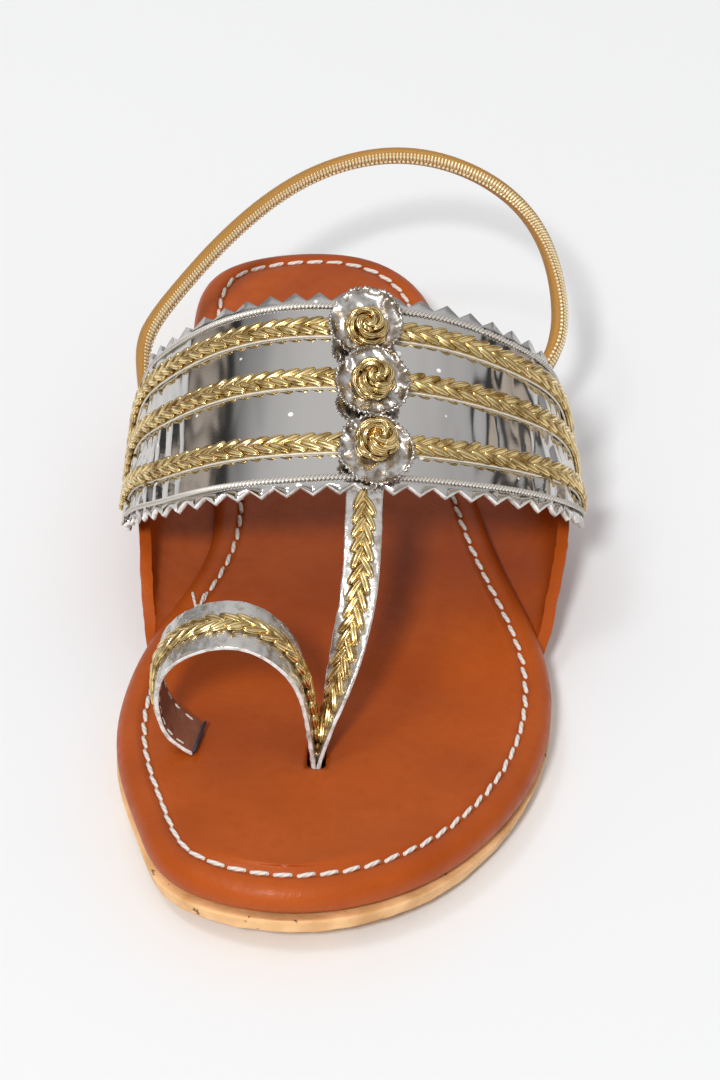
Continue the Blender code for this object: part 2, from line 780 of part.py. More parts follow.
def make_heel_strap(sandal):
    """The round elastic behind the heel, standing in an arc, with its ends pressed flat."""
    points = [place(row.side * BALL_WIDTH, row.along * LENGTH, row.height * ELASTIC_HEIGHT)
              for row in HEEL_STRAP]
    places = station_places(points, ELASTIC_STEPS)
    line = smooth(points, places)
    leans = np.interp(places, range(len(points)), [row.lean for row in HEEL_STRAP])
    rings = []
    for i, point in enumerate(line):
        run = direction(line, i)
        inside = Vector((0, 0, 1)).cross(run).normalized() * -1
        width = turned_width(line, i, Vector((0, 0, 1)) + inside * leans[i])
        out = run.cross(width).normalized()
        from_end = min((point - line[0]).length, (point - line[-1]).length)
        plump = ease(from_end, 0.0, ELASTIC_END_REACH)
        thick = ELASTIC_END + (ELASTIC_THICKNESS - ELASTIC_END) * plump
        angles = [math.tau * k / ELASTIC_SIDES for k in range(ELASTIC_SIDES)]
        rings.append([point + width * math.cos(a) * ELASTIC_WIDTH / 2
                      + out * math.sin(a) * thick / 2 for a in angles])
    return finish("heel_strap", mesh_from("heel_strap", tube(rings)), "gold_elastic", sandal)


def make_sandal():
    """Builds every piece of the sandal."""
    sandal, cutters = clear_scene()
    make_outsole(sandal)
    footbed = make_footbed(sandal)
    for name, rim, lateral in (("wing_medial", MEDIAL_RIM, False),
                               ("wing_lateral", LATERAL_RIM, True)):
        room = make_wing(name, rim, lateral, sandal, cutters)
        footbed = boolean(footbed, room, "DIFFERENCE")
    cut_slit(footbed, sandal, cutters)
    make_upper(sandal)
    for crossing in CROSSINGS:
        make_band_braid(crossing, sandal)
        make_rosette(crossing, sandal)
    make_toe_braids(sandal)
    make_heel_strap(sandal)


make_sandal()
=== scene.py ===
"""Looks of the left kolhapuri sandal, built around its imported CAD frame.

+Z is up, the toe points to -Y and the little toe's side is +X. The origin is the middle of the
flat spot under the heel. "Along" is always the distance from the back of the heel, in metres.
"""
import json
from collections import namedtuple
from math import copysign, cos, exp, pi, radians, sin, tau

import bmesh
import bpy
import numpy as np
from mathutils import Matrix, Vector, noise

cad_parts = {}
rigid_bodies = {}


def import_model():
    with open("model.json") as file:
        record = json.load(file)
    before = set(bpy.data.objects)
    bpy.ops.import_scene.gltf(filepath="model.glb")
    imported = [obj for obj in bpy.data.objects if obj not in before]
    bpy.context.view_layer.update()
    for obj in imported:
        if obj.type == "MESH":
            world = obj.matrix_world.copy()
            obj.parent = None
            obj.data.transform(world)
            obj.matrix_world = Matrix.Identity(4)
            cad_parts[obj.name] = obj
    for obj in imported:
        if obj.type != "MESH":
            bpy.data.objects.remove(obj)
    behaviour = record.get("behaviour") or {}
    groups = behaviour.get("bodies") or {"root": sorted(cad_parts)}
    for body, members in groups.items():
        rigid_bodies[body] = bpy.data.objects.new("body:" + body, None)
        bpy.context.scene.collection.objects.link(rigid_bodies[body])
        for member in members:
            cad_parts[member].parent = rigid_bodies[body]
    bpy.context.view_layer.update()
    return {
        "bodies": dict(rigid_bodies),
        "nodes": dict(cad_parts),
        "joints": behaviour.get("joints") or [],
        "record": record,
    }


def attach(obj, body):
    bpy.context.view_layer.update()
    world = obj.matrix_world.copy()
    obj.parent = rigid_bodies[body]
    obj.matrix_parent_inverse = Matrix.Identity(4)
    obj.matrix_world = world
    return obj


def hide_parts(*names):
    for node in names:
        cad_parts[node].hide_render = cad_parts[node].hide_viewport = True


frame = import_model()


# Sole: a low moulding of light foamed rubber, thicker under the heel and rolled up a little at
# the toe. It is cemented under the footbed. Its edge is ground by hand, so the line wanders.
LENGTH = 0.248
BALL_WIDTH = 0.0954
HEEL_WIDTH = 0.0628
HEEL_REST_ALONG = 0.030
SOLE_AT_HEEL = 0.0087
SOLE_AT_FOREFOOT = 0.0040
SOLE_TAPER_AT_HEEL = 0.0020
SOLE_TAPER_AT_TOE = 0.0008
SOLE_EDGE = 0.0008
SOLE_TUCK = 0.0004
ARCH_RISE = 0.0016
TOE_SPRING = 0.0052
HEEL_FLAT_END = 0.30
FOREFOOT_FLAT_START = 0.56
SPRING_START = 0.65
SOLE_THINS_FROM = 0.25
SOLE_THIN_FROM = 0.70
SOLE_COLUMNS = 6
GRINDING = 0.00035
GRINDING_SCALE = 260.0
OUTLINE_STEPS = 16


def table(columns, *rows):
    """Rows of values with named columns."""
    kind = namedtuple("Row", columns)
    return [kind(*row) for row in rows]


# The footprint: shares of the length, and its two sides as shares of the width named beside them
OUTLINE = table(
    "share width lateral medial",
    (0.030, HEEL_WIDTH, 0.317, -0.357), (0.100, HEEL_WIDTH, 0.455, -0.479),
    (0.220, HEEL_WIDTH, 0.503, -0.457), (0.360, HEEL_WIDTH, 0.589, -0.377),
    (0.500, BALL_WIDTH, 0.470, -0.242), (0.640, BALL_WIDTH, 0.574, -0.371),
    (0.780, BALL_WIDTH, 0.551, -0.413), (0.890, BALL_WIDTH, 0.425, -0.350),
    (0.965, BALL_WIDTH, 0.246, -0.261))
HEEL_BACK_SIDE = 0.060 * HEEL_WIDTH
TOE_TIP_SIDE = -0.016 * BALL_WIDTH


def place(side, along, height):
    """World point from a side, a distance from the back of the heel and a height."""
    return Vector((side, HEEL_REST_ALONG - along, height))


def smooth(points, places, closed=False):
    """Cubic spline through the points; place 2.5 is halfway from point 2 to point 3."""
    points = np.array(points, float)
    count = len(points)
    ahead = np.roll(points, -1, axis=0)
    steps = np.linalg.norm(ahead - points, axis=1) ** 0.5
    bends = np.eye(count)
    sides = np.zeros_like(points)
    for i in range(count):
        if not closed and i in (0, count - 1):
            continue
        before, after = steps[i - 1], steps[i]
        bends[i, i] = 2 * (before + after)
        bends[i, i - 1] = before
        bends[i, (i + 1) % count] = after
        sides[i] = 6 * ((ahead[i] - points[i]) / after - (points[i] - points[i - 1]) / before)
    curve = np.linalg.solve(bends, sides)
    spans = count if closed else count - 1
    result = []
    for spot in places:
        i = min(int(spot), spans - 1)
        j = (i + 1) % count
        step = steps[i]
        done = (spot - i) * step
        left = step - done
        result.append((curve[i] * left ** 3 + curve[j] * done ** 3) / (6 * step)
                      + (points[i] / step - curve[i] * step / 6) * left
                      + (points[j] / step - curve[j] * step / 6) * done)
    return [Vector(row) for row in result]


def stops(count, steps):
    """Spline places through count points, with this many steps from each to the next."""
    return [i / steps for i in range((count - 1) * steps + 1)]


def direction(line, i, closed=False):
    """Direction of a line of points at one of them."""
    last = len(line) - 1
    ahead, behind = ((i + 1) % (last + 1), i - 1) if closed else (min(i + 1, last), max(i - 1, 0))
    return (line[ahead] - line[behind]).normalized()


def ease(value, start, end):
    """0 before start, 1 after end and straight between them."""
    return min(max((value - start) / (end - start), 0.0), 1.0)


def soft_step(value, start, end):
    """Like ease, with rounded shoulders."""
    share = ease(value, start, end)
    return share * share * (3 - 2 * share)


def toe_lift(share):
    """How far the toe spring lifts the sole."""
    return TOE_SPRING * max((share - SPRING_START) / (1 - SPRING_START), 0.0) ** 2


def sole_bottom(share):
    """Height of the sole's underside: flat heel, low waist, flat forefoot, toe spring."""
    return ARCH_RISE * sin(pi * ease(share, HEEL_FLAT_END, FOREFOOT_FLAT_START)) ** 2 \
        + toe_lift(share)


def sole_top(share):
    """Height of the sole's upper face, thicker under the heel."""
    thin = ease(share, SOLE_THINS_FROM, SOLE_THIN_FROM)
    return SOLE_AT_HEEL + (SOLE_AT_FOREFOOT - SOLE_AT_HEEL) * thin + toe_lift(share)


outline = [(HEEL_BACK_SIDE, 0.0),
           *((row.lateral * row.width, row.share * LENGTH) for row in OUTLINE),
           (TOE_TIP_SIDE, LENGTH),
           *((row.medial * row.width, row.share * LENGTH) for row in reversed(OUTLINE))]
# A closed ring of (side, along), from the heel round by the lateral side
FOOTPRINT = smooth(outline, stops(len(outline) + 1, OUTLINE_STEPS)[:-1], closed=True)


def inset_ring(inset, height):
    """The footprint moved inward by inset(share), at height(share, lateral)."""
    ring = []
    for i, point in enumerate(FOOTPRINT):
        run = direction(FOOTPRINT, i, closed=True)
        share = point.y / LENGTH
        moved = point + Vector((-run.y, run.x)) * inset(share)
        ring.append(place(moved.x, moved.y, height(share, i < len(FOOTPRINT) // 2)))
    return ring


def meshed(name, work, closed=True):
    """The mesh that a bmesh holds, with the faces of a closed one turned outward."""
    if closed:
        bmesh.ops.recalc_face_normals(work, faces=work.faces)
    mesh = bpy.data.meshes.new(name)
    work.to_mesh(mesh)
    work.free()
    return mesh


def tube(work, rings, capped=True):
    """Faces through closed rings of points, with UVs along and round them; gives the rings."""
    layer = work.loops.layers.uv.verify()
    levels = [[work.verts.new(point) for point in ring] for ring in rings]
    last, count = len(rings) - 1, len(rings[0])
    for k in range(last):
        for i in range(count):
            spots = ((k, i), (k, i + 1), (k + 1, i + 1), (k + 1, i))
            face = work.faces.new([levels[step][turn % count] for step, turn in spots])
            for loop, (step, turn) in zip(face.loops, spots):
                loop[layer].uv = (step / last, turn / count)
    if capped:
        work.faces.new(levels[0])
        work.faces.new(levels[-1])
    return levels


def ring_skin(name, rings, columns, lift=None):
    """A solid through closed rings, spanned at both ends by rows from side to side."""
    work = bmesh.new()
    levels = tube(work, rings, capped=False)
    half = len(rings[0]) // 2
    for level, raised in ((levels[0], None), (levels[-1], lift)):
        rows = []
        for i in range(1, half):
            near, far = level[i], level[-i]
            row = [near]
            for k in range(1, columns):
                point = near.co.lerp(far.co, k / columns)
                if raised:
                    point.z += raised(point, k / columns)
                row.append(work.verts.new(point))
            rows.append([*row, far])
        for k in range(columns):
            for first, second in zip(rows, rows[1:]):
                work.faces.new((first[k], first[k + 1], second[k + 1], second[k]))
            for tip, row in ((level[0], rows[0]), (level[half], rows[-1])):
                work.faces.new((tip, row[k], row[k + 1]))
    return meshed(name, work)


def placed(name, data):
    """A new object in the scene."""
    item = bpy.data.objects.new(name, data)
    bpy.context.scene.collection.objects.link(item)
    return item


def fitted(name, mesh, finishes, replaced=()):
    """Puts a finished mesh on the shoe with its materials."""
    mesh.name = name
    for number, finish in enumerate(finishes):
        if number < len(mesh.materials):
            mesh.materials[number] = finish
        else:
            mesh.materials.append(finish)
    mesh.shade_smooth()
    piece = placed(name, mesh)
    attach(piece, "root")
    if replaced:
        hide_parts(*replaced)
    return piece


def put(tree, kind, sockets=(), **settings):
    """Adds a node, sets it up and fills its sockets with values or with other nodes' outputs."""
    node = tree.nodes.new(kind)
    for key, value in settings.items():
        setattr(node, key, value)
    for socket, value in dict(sockets).items():
        if isinstance(value, bpy.types.NodeSocket):
            tree.links.new(value, node.inputs[socket])
        else:
            node.inputs[socket].default_value = value
    return node


def calc(tree, operation, *values):
    """The result of one sum on numbers or sockets."""
    return put(tree, "ShaderNodeMath", dict(enumerate(values)), operation=operation).outputs[0]


def spot_in(tree, space):
    """The shaded point in object, UV or ray coordinates."""
    return put(tree, "ShaderNodeTexCoord").outputs[space]


def parts_of(tree, space):
    """The shaded point's X, Y and Z."""
    return put(tree, "ShaderNodeSeparateXYZ", {0: spot_in(tree, space)}).outputs


def effect(name, inputs, outputs):
    """A shader group with these float inputs and outputs; gives its tree and its two ends."""
    tree = bpy.data.node_groups.new(name, "ShaderNodeTree")
    for socket, value in inputs.items():
        made = tree.interface.new_socket(socket, in_out="INPUT", socket_type="NodeSocketFloat")
        made.default_value = value
    for socket in outputs:
        tree.interface.new_socket(socket, in_out="OUTPUT", socket_type="NodeSocketFloat")
    return tree, tree.nodes.new("NodeGroupInput").outputs, tree.nodes.new("NodeGroupOutput").inputs


def place_effect(tree, group, **inputs):
    """The outputs of an effect placed in a material with its own values."""
    return put(tree, "ShaderNodeGroup", inputs, node_tree=group).outputs


def paint(name, roughness, metallic=0.0):
    """A new material; gives it with its node tree and its shader's sockets."""
    made = bpy.data.materials.new(name)
    made.use_nodes = True
    shader = made.node_tree.nodes["Principled BSDF"].inputs
    shader["Roughness"].default_value = roughness
    shader["Metallic"].default_value = metallic
    return made, made.node_tree, shader


def ramp(tree, value, start, end, low=0.0, high=1.0):
    """The value's stretch from start to end turned into low to high."""
    return put(tree, "ShaderNodeMapRange", {"Value": value, "From Min": start, "From Max": end,
                                            "To Min": low, "To Max": high}).outputs["Result"]


def tint(tree, share, first, second):
    """Colour between two colours or colour sockets."""
    pair = {}
    for socket, colour in ((6, first), (7, second)):
        pair[socket] = colour if isinstance(colour, bpy.types.NodeSocket) else (*colour, 1.0)
    return put(tree, "ShaderNodeMix", {0: share, **pair}, data_type="RGBA").outputs[2]


def relief(tree, shader, height, depth, strength=1.0):
    """Feeds a height, 0 to 1, into the shader's normal; depth is in metres."""
    bump = put(tree, "ShaderNodeBump", {"Height": height, "Distance": depth, "Strength": strength})
    tree.links.new(bump.outputs["Normal"], shader["Normal"])


def two_tone(name, surface, group, values, first, second, depth, strength, start=0.0, end=1.0):
    """A finish that an effect colours by its last output and embosses by its first; surface is
    roughness and metallic, and start and end are where the colours change."""
    made, tree, shader = paint(name, *surface)
    worked = place_effect(tree, group, **values)
    tree.links.new(tint(tree, ramp(tree, worked[-1], start, end), first, second),
                   shader["Base Color"])
    relief(tree, shader, worked[0], depth, strength)
    return made


# Pebbled grain and slow blotches of tone, on object coordinates
PEBBLE_GRAIN, given, made = effect("pebble_grain", {"Grain": 1300.0, "Blotch": 30.0},
                                   ("Height", "Tone"))
spot = spot_in(PEBBLE_GRAIN, "Object")
pebble = put(PEBBLE_GRAIN, "ShaderNodeTexVoronoi", {"Vector": spot, "Scale": given["Grain"]},
             feature="SMOOTH_F1")
slow = put(PEBBLE_GRAIN, "ShaderNodeTexNoise", {"Vector": spot, "Scale": given["Blotch"],
                                                "Detail": 4.0})
PEBBLE_GRAIN.links.new(pebble.outputs["Distance"], made["Height"])
PEBBLE_GRAIN.links.new(slow.outputs["Fac"], made["Tone"])

RUBBER_LIGHT = (0.94, 0.58, 0.28)
RUBBER_DARK = (0.64, 0.34, 0.13)
FLECK = (0.10, 0.045, 0.02)
sole_rubber, tree, shader = paint("sole_rubber", 0.55)
grain = place_effect(tree, PEBBLE_GRAIN, Grain=900.0, Blotch=120.0)
flecks = place_effect(tree, PEBBLE_GRAIN, Grain=160.0, Blotch=420.0)
colour = tint(tree, ramp(tree, grain["Tone"], 0.35, 0.70), RUBBER_LIGHT, RUBBER_DARK)
tree.links.new(tint(tree, ramp(tree, flecks["Tone"], 0.66, 0.72), colour, FLECK),
               shader["Base Color"])
relief(tree, shader, grain["Height"], 0.0002, 0.5)


def taper(share):
    """How far the sole's lower edge lies inside the footprint."""
    return SOLE_TAPER_AT_HEEL + (SOLE_TAPER_AT_TOE - SOLE_TAPER_AT_HEEL) * share


rings = []
for turn in (0, 30, 60, 90):
    out, up = 1 - sin(radians(turn)), 1 - cos(radians(turn))
    rings.append(inset_ring(lambda s: taper(s) + SOLE_EDGE * out,
                            lambda s, _: sole_bottom(s) + SOLE_EDGE * up))
rings[1:] = [[point + Vector((0, 0, GRINDING * noise.noise(point * GRINDING_SCALE)))
              for point in ring] for ring in rings[1:]]
for up in (0.35, 0.7, 0.93):
    rings.append(inset_ring(lambda s: taper(s) * (1 - up),
                            lambda s, _: sole_bottom(s) + SOLE_EDGE
                            + (sole_top(s) - sole_bottom(s) - SOLE_EDGE) * up))
rings.append(inset_ring(lambda s: SOLE_TUCK, lambda s, _: sole_top(s)))
fitted("sole", ring_skin("sole", rings, SOLE_COLUMNS), [sole_rubber], ["outsole"])


# Footbed: a padded board wrapped in smooth tan leather that is rolled round its edge and
# stitched down 6 mm in from it. A slit takes the toe strap and the toe ring.
FOOTBED_THICKNESS = 0.0080
FOOTBED_ROLL = 0.0040
ROLL_STEP = 12
STITCH_INSET = 0.0060
GROOVE_DEPTH = 0.0009
GROOVE_HALF_WIDTH = 0.0013
GROOVE_STEPS = (-1.0, -0.6, -0.25, 0.25, 0.6, 1.0, 1.6)
CROWN = 0.0007
UNEVENNESS = 0.00022
UNEVEN_SCALE = 45.0
SLIT_ALONG = 0.1980
SLIT_SIDE = 0.0041
SLIT_LENGTH = 0.0094
SLIT_WIDTH = 0.0042
SLIT_DIP = 0.0008
SLIT_DIP_REACH = 0.0090
WING_WALL = 0.0026
WING_FLANGE = 0.0050
MEDIAL_WING_SPAN = (0.180, 0.655)
LATERAL_WING_SPAN = (0.150, 0.640)
WING_FADE = 0.03
GAP = 0.0003
FOOTBED_COLUMNS = 44


def foot_height(share):
    """Height of the footbed's upper face."""
    return sole_top(share) + FOOTBED_THICKNESS


def rolled_height(share, lateral, up):
    """Height on the rolled edge, up from -1 to 1; over a wing's root its lower half rises."""
    half = (FOOTBED_THICKNESS - GAP) / 2
    start, end = LATERAL_WING_SPAN if lateral else MEDIAL_WING_SPAN
    room = (WING_WALL + GAP) * soft_step(share, start, start + WING_FADE) \
        * (1 - soft_step(share, end - WING_FADE, end))
    return foot_height(share) - half + (half - room if up < 0 else half) * up


rings = []
for angle in range(-90, 91, ROLL_STEP):
    out, up = cos(radians(angle)), sin(radians(angle))
    rings.append(inset_ring(lambda s: FOOTBED_ROLL * (1 - out),
                            lambda s, lateral: rolled_height(s, lateral, up)))
for step in GROOVE_STEPS:
    rings.append(inset_ring(
        lambda s: STITCH_INSET + GROOVE_HALF_WIDTH * step,
        lambda s, _: foot_height(s) - GROOVE_DEPTH * max(1 - step * step, 0.0)))

# The point of the footbed's upper face in the middle of the slit
SLIT_FOOT = place(SLIT_SIDE, SLIT_ALONG, foot_height(SLIT_ALONG / LENGTH))


def padding(point, across):
    """Rise of the padding over the flat board, with the pull of the toe post."""
    from_middle = abs(2 * across - 1)
    wander = UNEVENNESS * noise.noise(Vector((point.x, point.y, 0)) * UNEVEN_SCALE)
    pull = (point - SLIT_FOOT).length / SLIT_DIP_REACH
    return CROWN * (1 - from_middle ** 6) + wander * (1 - from_middle ** 4) \
        - SLIT_DIP * exp(-3 * pull * pull)


LEATHER = (0.445, 0.082, 0.0065)
LEATHER_DEEP = (0.34, 0.056, 0.0040)
tan_leather, tree, shader = paint("tan_leather", 0.42)
shader["Specular IOR Level"].default_value = 0.22
grain = place_effect(tree, PEBBLE_GRAIN, Grain=1500.0, Blotch=28.0)
creases = place_effect(tree, PEBBLE_GRAIN, Grain=230.0, Blotch=300.0)
colour = tint(tree, ramp(tree, grain["Tone"], 0.35, 0.68), LEATHER, LEATHER_DEEP)
tree.links.new(tint(tree, ramp(tree, creases["Tone"], 0.45, 0.75, 0.0, 0.35), colour,
                    LEATHER_DEEP), shader["Base Color"])
tree.links.new(ramp(tree, creases["Tone"], 0.3, 0.7, 0.34, 0.50), shader["Roughness"])
relief(tree, shader, calc(tree, "ADD", grain["Height"], creases["Tone"]), 0.00012, 0.55)


def evaluated(item):
    """The object's mesh with its modifiers applied; the object goes."""
    depsgraph = bpy.context.evaluated_depsgraph_get()
    mesh = bpy.data.meshes.new_from_object(item.evaluated_get(depsgraph))
    bpy.data.objects.remove(item, do_unlink=True)
    return mesh


def with_modifier(mesh, kind, **settings):
    """The mesh after one modifier."""
    item = placed("in_work", mesh)
    step = item.modifiers.new("step", kind)
    for key, value in settings.items():
        setattr(step, key, value)
    return evaluated(item)


# A slot with round ends, standing through the footbed
work = bmesh.new()
bmesh.ops.create_cone(work, cap_ends=True, segments=24, radius1=SLIT_WIDTH / 2,
                      radius2=SLIT_WIDTH / 2, depth=4 * FOOTBED_THICKNESS)
for vertex in work.verts:
    vertex.co.y += copysign(SLIT_LENGTH / 2 + GAP - SLIT_WIDTH / 2, vertex.co.y)
    vertex.co += SLIT_FOOT
cutter = placed("slit_cutter", meshed("slit_cutter", work))
mesh = with_modifier(ring_skin("footbed", rings, FOOTBED_COLUMNS, padding), "BOOLEAN",
                     operation="DIFFERENCE", object=cutter, solver="EXACT")
bpy.data.objects.remove(cutter, do_unlink=True)
footbed = fitted("footbed_cover", mesh, [tan_leather], ["footbed"])


# Footbed stitching: a running seam of thick white twisted thread all round the footbed, pulled
# down into a groove of its own. Each stitch is a soft short rod that lies a little askew.
STITCH_PITCH = 0.0049
STITCH_SIZE = (0.0043, 0.00105, 0.00105)
STITCH_SUNK = 0.45
STITCH_SLANT = radians(7.0)
STITCH_SWAY = radians(3.0)
THREAD_END_PITCH = 0.0016
THREAD_END_SIZE = (0.0026, 0.0007, 0.0006)
THREAD_END_LIFT = 0.0003
UP = Vector((0, 0, 1))


def unit_lobe(name, around, steps, bluntness):
    """A closed rod one unit long and thick; bluntness 1 makes an egg and more a blunter rod."""
    work = bmesh.new()
    rings = []
    for k in range(steps + 1):
        angle = pi * k / steps
        radius = 0.5 * sin(angle) ** (1 / bluntness)
        rings.append([(-0.5 * cos(angle), radius * cos(tau * i / around),
                       radius * sin(tau * i / around)) for i in range(around)])
    tube(work, rings, capped=False)
    bmesh.ops.remove_doubles(work, verts=work.verts, dist=1e-5)
    item = placed(name, meshed(name, work))
    item.hide_render = True
    return item


def lay_tree(name, hands):
    """Geometry Nodes that lay lobes along a path, one row for each hand, 1 or -1.

    The path's points carry "along", the way it runs, and "out", away from what it lies on."""
    tree = bpy.data.node_groups.new(name, "GeometryNodeTree")
    for socket, kind in (("Path", "Geometry"), ("Lobe", "Object"), ("Pitch", "Float"),
                         ("Size", "Vector"), ("Across", "Float"), ("Slant", "Float"),
                         ("Sway", "Float"), ("Seed", "Int"), ("Finish", "Material")):
        tree.interface.new_socket(socket, in_out="INPUT", socket_type=f"NodeSocket{kind}")
    tree.interface.new_socket("Laid", in_out="OUTPUT", socket_type="NodeSocketGeometry")
    given = tree.nodes.new("NodeGroupInput").outputs

    def scaled(vector, socket, by):
        """The vector times a given length and a number."""
        return put(tree, "ShaderNodeVectorMath",
                   {0: vector, "Scale": calc(tree, "MULTIPLY", given[socket], by)},
                   operation="SCALE").outputs[0]

    line = put(tree, "GeometryNodeMeshToCurve", {"Mesh": given["Path"]}).outputs[0]
    line = put(tree, "GeometryNodeResampleCurve", {"Curve": line, "Length": given["Pitch"]},
               mode="LENGTH").outputs[0]
    along, out = (put(tree, "GeometryNodeInputNamedAttribute", {"Name": word},
                      data_type="FLOAT_VECTOR").outputs["Attribute"] for word in ("along", "out"))
    across = put(tree, "ShaderNodeVectorMath", {0: out, 1: along},
                 operation="CROSS_PRODUCT").outputs[0]
    facing = put(tree, "FunctionNodeAlignRotationToVector", {"Vector": out}, axis="Z").outputs[0]
    facing = put(tree, "FunctionNodeAlignRotationToVector",
                 {"Rotation": facing, "Vector": along}, axis="X", pivot_axis="Z").outputs[0]
    lobe = put(tree, "GeometryNodeObjectInfo", {"Object": given["Lobe"]}).outputs["Geometry"]
    least = calc(tree, "MULTIPLY", given["Sway"], -1.0)
    together = tree.nodes.new("GeometryNodeJoinGeometry")
    for hand in hands:
        lead = hand / 4 if len(hands) > 1 else 0.0
        shift = put(tree, "ShaderNodeVectorMath",
                    {0: scaled(across, "Across", hand), 1: scaled(along, "Pitch", lead)},
                    operation="ADD").outputs[0]
        row = put(tree, "GeometryNodeSetPosition", {"Geometry": line, "Offset": shift}).outputs[0]
        sway = put(tree, "FunctionNodeRandomValue", {"Min": least, "Max": given["Sway"],
                                                     "Seed": given["Seed"]}, data_type="FLOAT")
        sway = [socket for socket in sway.outputs if socket.enabled][0]
        slant = calc(tree, "MULTIPLY_ADD", given["Slant"], float(hand), sway)
        turn = put(tree, "FunctionNodeEulerToRotation",
                   {0: put(tree, "ShaderNodeCombineXYZ", {"Z": slant}).outputs[0]}).outputs[0]
        turned = put(tree, "FunctionNodeRotateRotation", {"Rotation": facing, "Rotate By": turn},
                     rotation_space="LOCAL").outputs[0]
        laid_row = put(tree, "GeometryNodeInstanceOnPoints", {
            "Points": row, "Instance": lobe, "Rotation": turned, "Scale": given["Size"]})
        tree.links.new(laid_row.outputs[0], together.inputs[0])
    real = put(tree, "GeometryNodeRealizeInstances", {"Geometry": together.outputs[0]})
    done = put(tree, "GeometryNodeSetMaterial", {"Geometry": real.outputs[0],
                                                 "Material": given["Finish"]})
    tree.links.new(done.outputs[0], tree.nodes.new("NodeGroupOutput").inputs["Laid"])
    return tree


SEAM = lay_tree("seam_of_lobes", (1,))
THREAD_ROD = unit_lobe("thread_rod", 8, 6, 2.4)


def laid(points, outs, tree, lobe, finish, pitch, size, across=0.0, slant=0.0, sway=0.0, seed=1,
         closed=False):
    """Lobes of one size laid along a line of points by a laying tree, as one plain mesh."""
    count = len(points)
    path = bpy.data.meshes.new("path")
    path.from_pydata(points, [(i, (i + 1) % count) for i in range(count - 1 + closed)], [])
    runs = [direction(points, i, closed) for i in range(count)]
    for word, values in (("along", runs), ("out", outs)):
        layer = path.attributes.new(word, "FLOAT_VECTOR", "POINT")
        layer.data.foreach_set("vector", [x for value in values for x in value])
    item = placed("in_work", path)
    step = item.modifiers.new("lay", "NODES")
    step.node_group = tree
    values = {"Lobe": lobe, "Pitch": pitch, "Size": size, "Across": across, "Slant": slant,
              "Sway": sway, "Seed": seed, "Finish": finish}
    for socket in tree.interface.items_tree:
        if socket.in_out == "INPUT" and socket.name in values:
            step[socket.identifier] = values[socket.name]
    return evaluated(item)


# Filaments that wind round a rod, from its UVs: u runs along it and v round it
FILAMENT_TWIST, given, made = effect("filament_twist", {"Along": 4.0, "Round": 3.0}, ("Height",))
spot = parts_of(FILAMENT_TWIST, "UV")
turns = calc(FILAMENT_TWIST, "MULTIPLY_ADD", spot["Y"], given["Round"],
             calc(FILAMENT_TWIST, "MULTIPLY", spot["X"], given["Along"]))
wave = calc(FILAMENT_TWIST, "SINE", calc(FILAMENT_TWIST, "MULTIPLY", turns, tau))
FILAMENT_TWIST.links.new(ramp(FILAMENT_TWIST, wave, -1.0, 1.0), made["Height"])

# The thread is painted darker in the grooves of its twist, a painted shade.
white_thread = two_tone("white_thread", (0.6, 0.0), FILAMENT_TWIST, {"Along": 3.0, "Round": 2.0},
                        (0.64, 0.57, 0.49), (0.78, 0.74, 0.68), 0.00016, 0.8, end=0.5)
seam_line = inset_ring(lambda s: STITCH_INSET, lambda s, _: foot_height(s) - GROOVE_DEPTH
                       + STITCH_SIZE[2] * STITCH_SUNK)
mesh = laid(seam_line, [UP] * len(seam_line), SEAM, THREAD_ROD, white_thread, STITCH_PITCH,
            STITCH_SIZE, slant=STITCH_SLANT, sway=STITCH_SWAY, seed=3, closed=True)
fitted("footbed_stitches", mesh, [white_thread])

for name, ends in (("left", ((-0.0253, 0.1425), (-0.0240, 0.1492))),
                   ("right", ((-0.0230, 0.1428), (-0.0238, 0.1480)))):
    tail = [place(side, along, foot_height(along / LENGTH) + THREAD_END_LIFT)
            for side, along in ends]
    mesh = laid(tail, [UP] * 2, SEAM, THREAD_ROD, white_thread, THREAD_END_PITCH,
                THREAD_END_SIZE)
    fitted(f"loose_thread_{name}", mesh, [white_thread])


# Wings: two leather side pieces, folded double, that start flat under the footbed's edge and
# rise as a shallow bowl to a rounded rim. The leather puckers where it turns up and at the rim.
WING_HEIGHT = 0.0260
WING_BOWL = 2.4
WING_DEEP_FROM = 0.35
WING_COLUMNS = 26
WING_STEPS = 10
FOLD_DEPTH = 0.0011
FOLD_SPACING = 0.021
PUCKER_DEPTH = 0.00030
PUCKER_SCALE = 520.0
PUCKER_STRETCH = 0.35
RIM_ROUND = 0.0009
RIM_STEPS = 3

# Their rims: share of the length, side as a share of the ball width, share of the wing height
MEDIAL_RIM = table(
    "share side height",
    (0.640, -0.352, 0.26), (0.600, -0.364, 0.38), (0.555, -0.379, 0.60), (0.506, -0.390, 0.80),
    (0.452, -0.393, 0.95), (0.395, -0.389, 1.00), (0.298, -0.372, 0.83), (0.246, -0.345, 0.60),
    (0.190, -0.310, 0.41))
LATERAL_RIM = table(
    "share side height",
    (0.625, 0.548, 0.27), (0.585, 0.574, 0.40), (0.540, 0.594, 0.62), (0.488, 0.610, 0.86),
    (0.400, 0.574, 1.00), (0.331, 0.520, 0.93), (0.286, 0.478, 0.78), (0.230, 0.408, 0.56),
    (0.160, 0.330, 0.41))


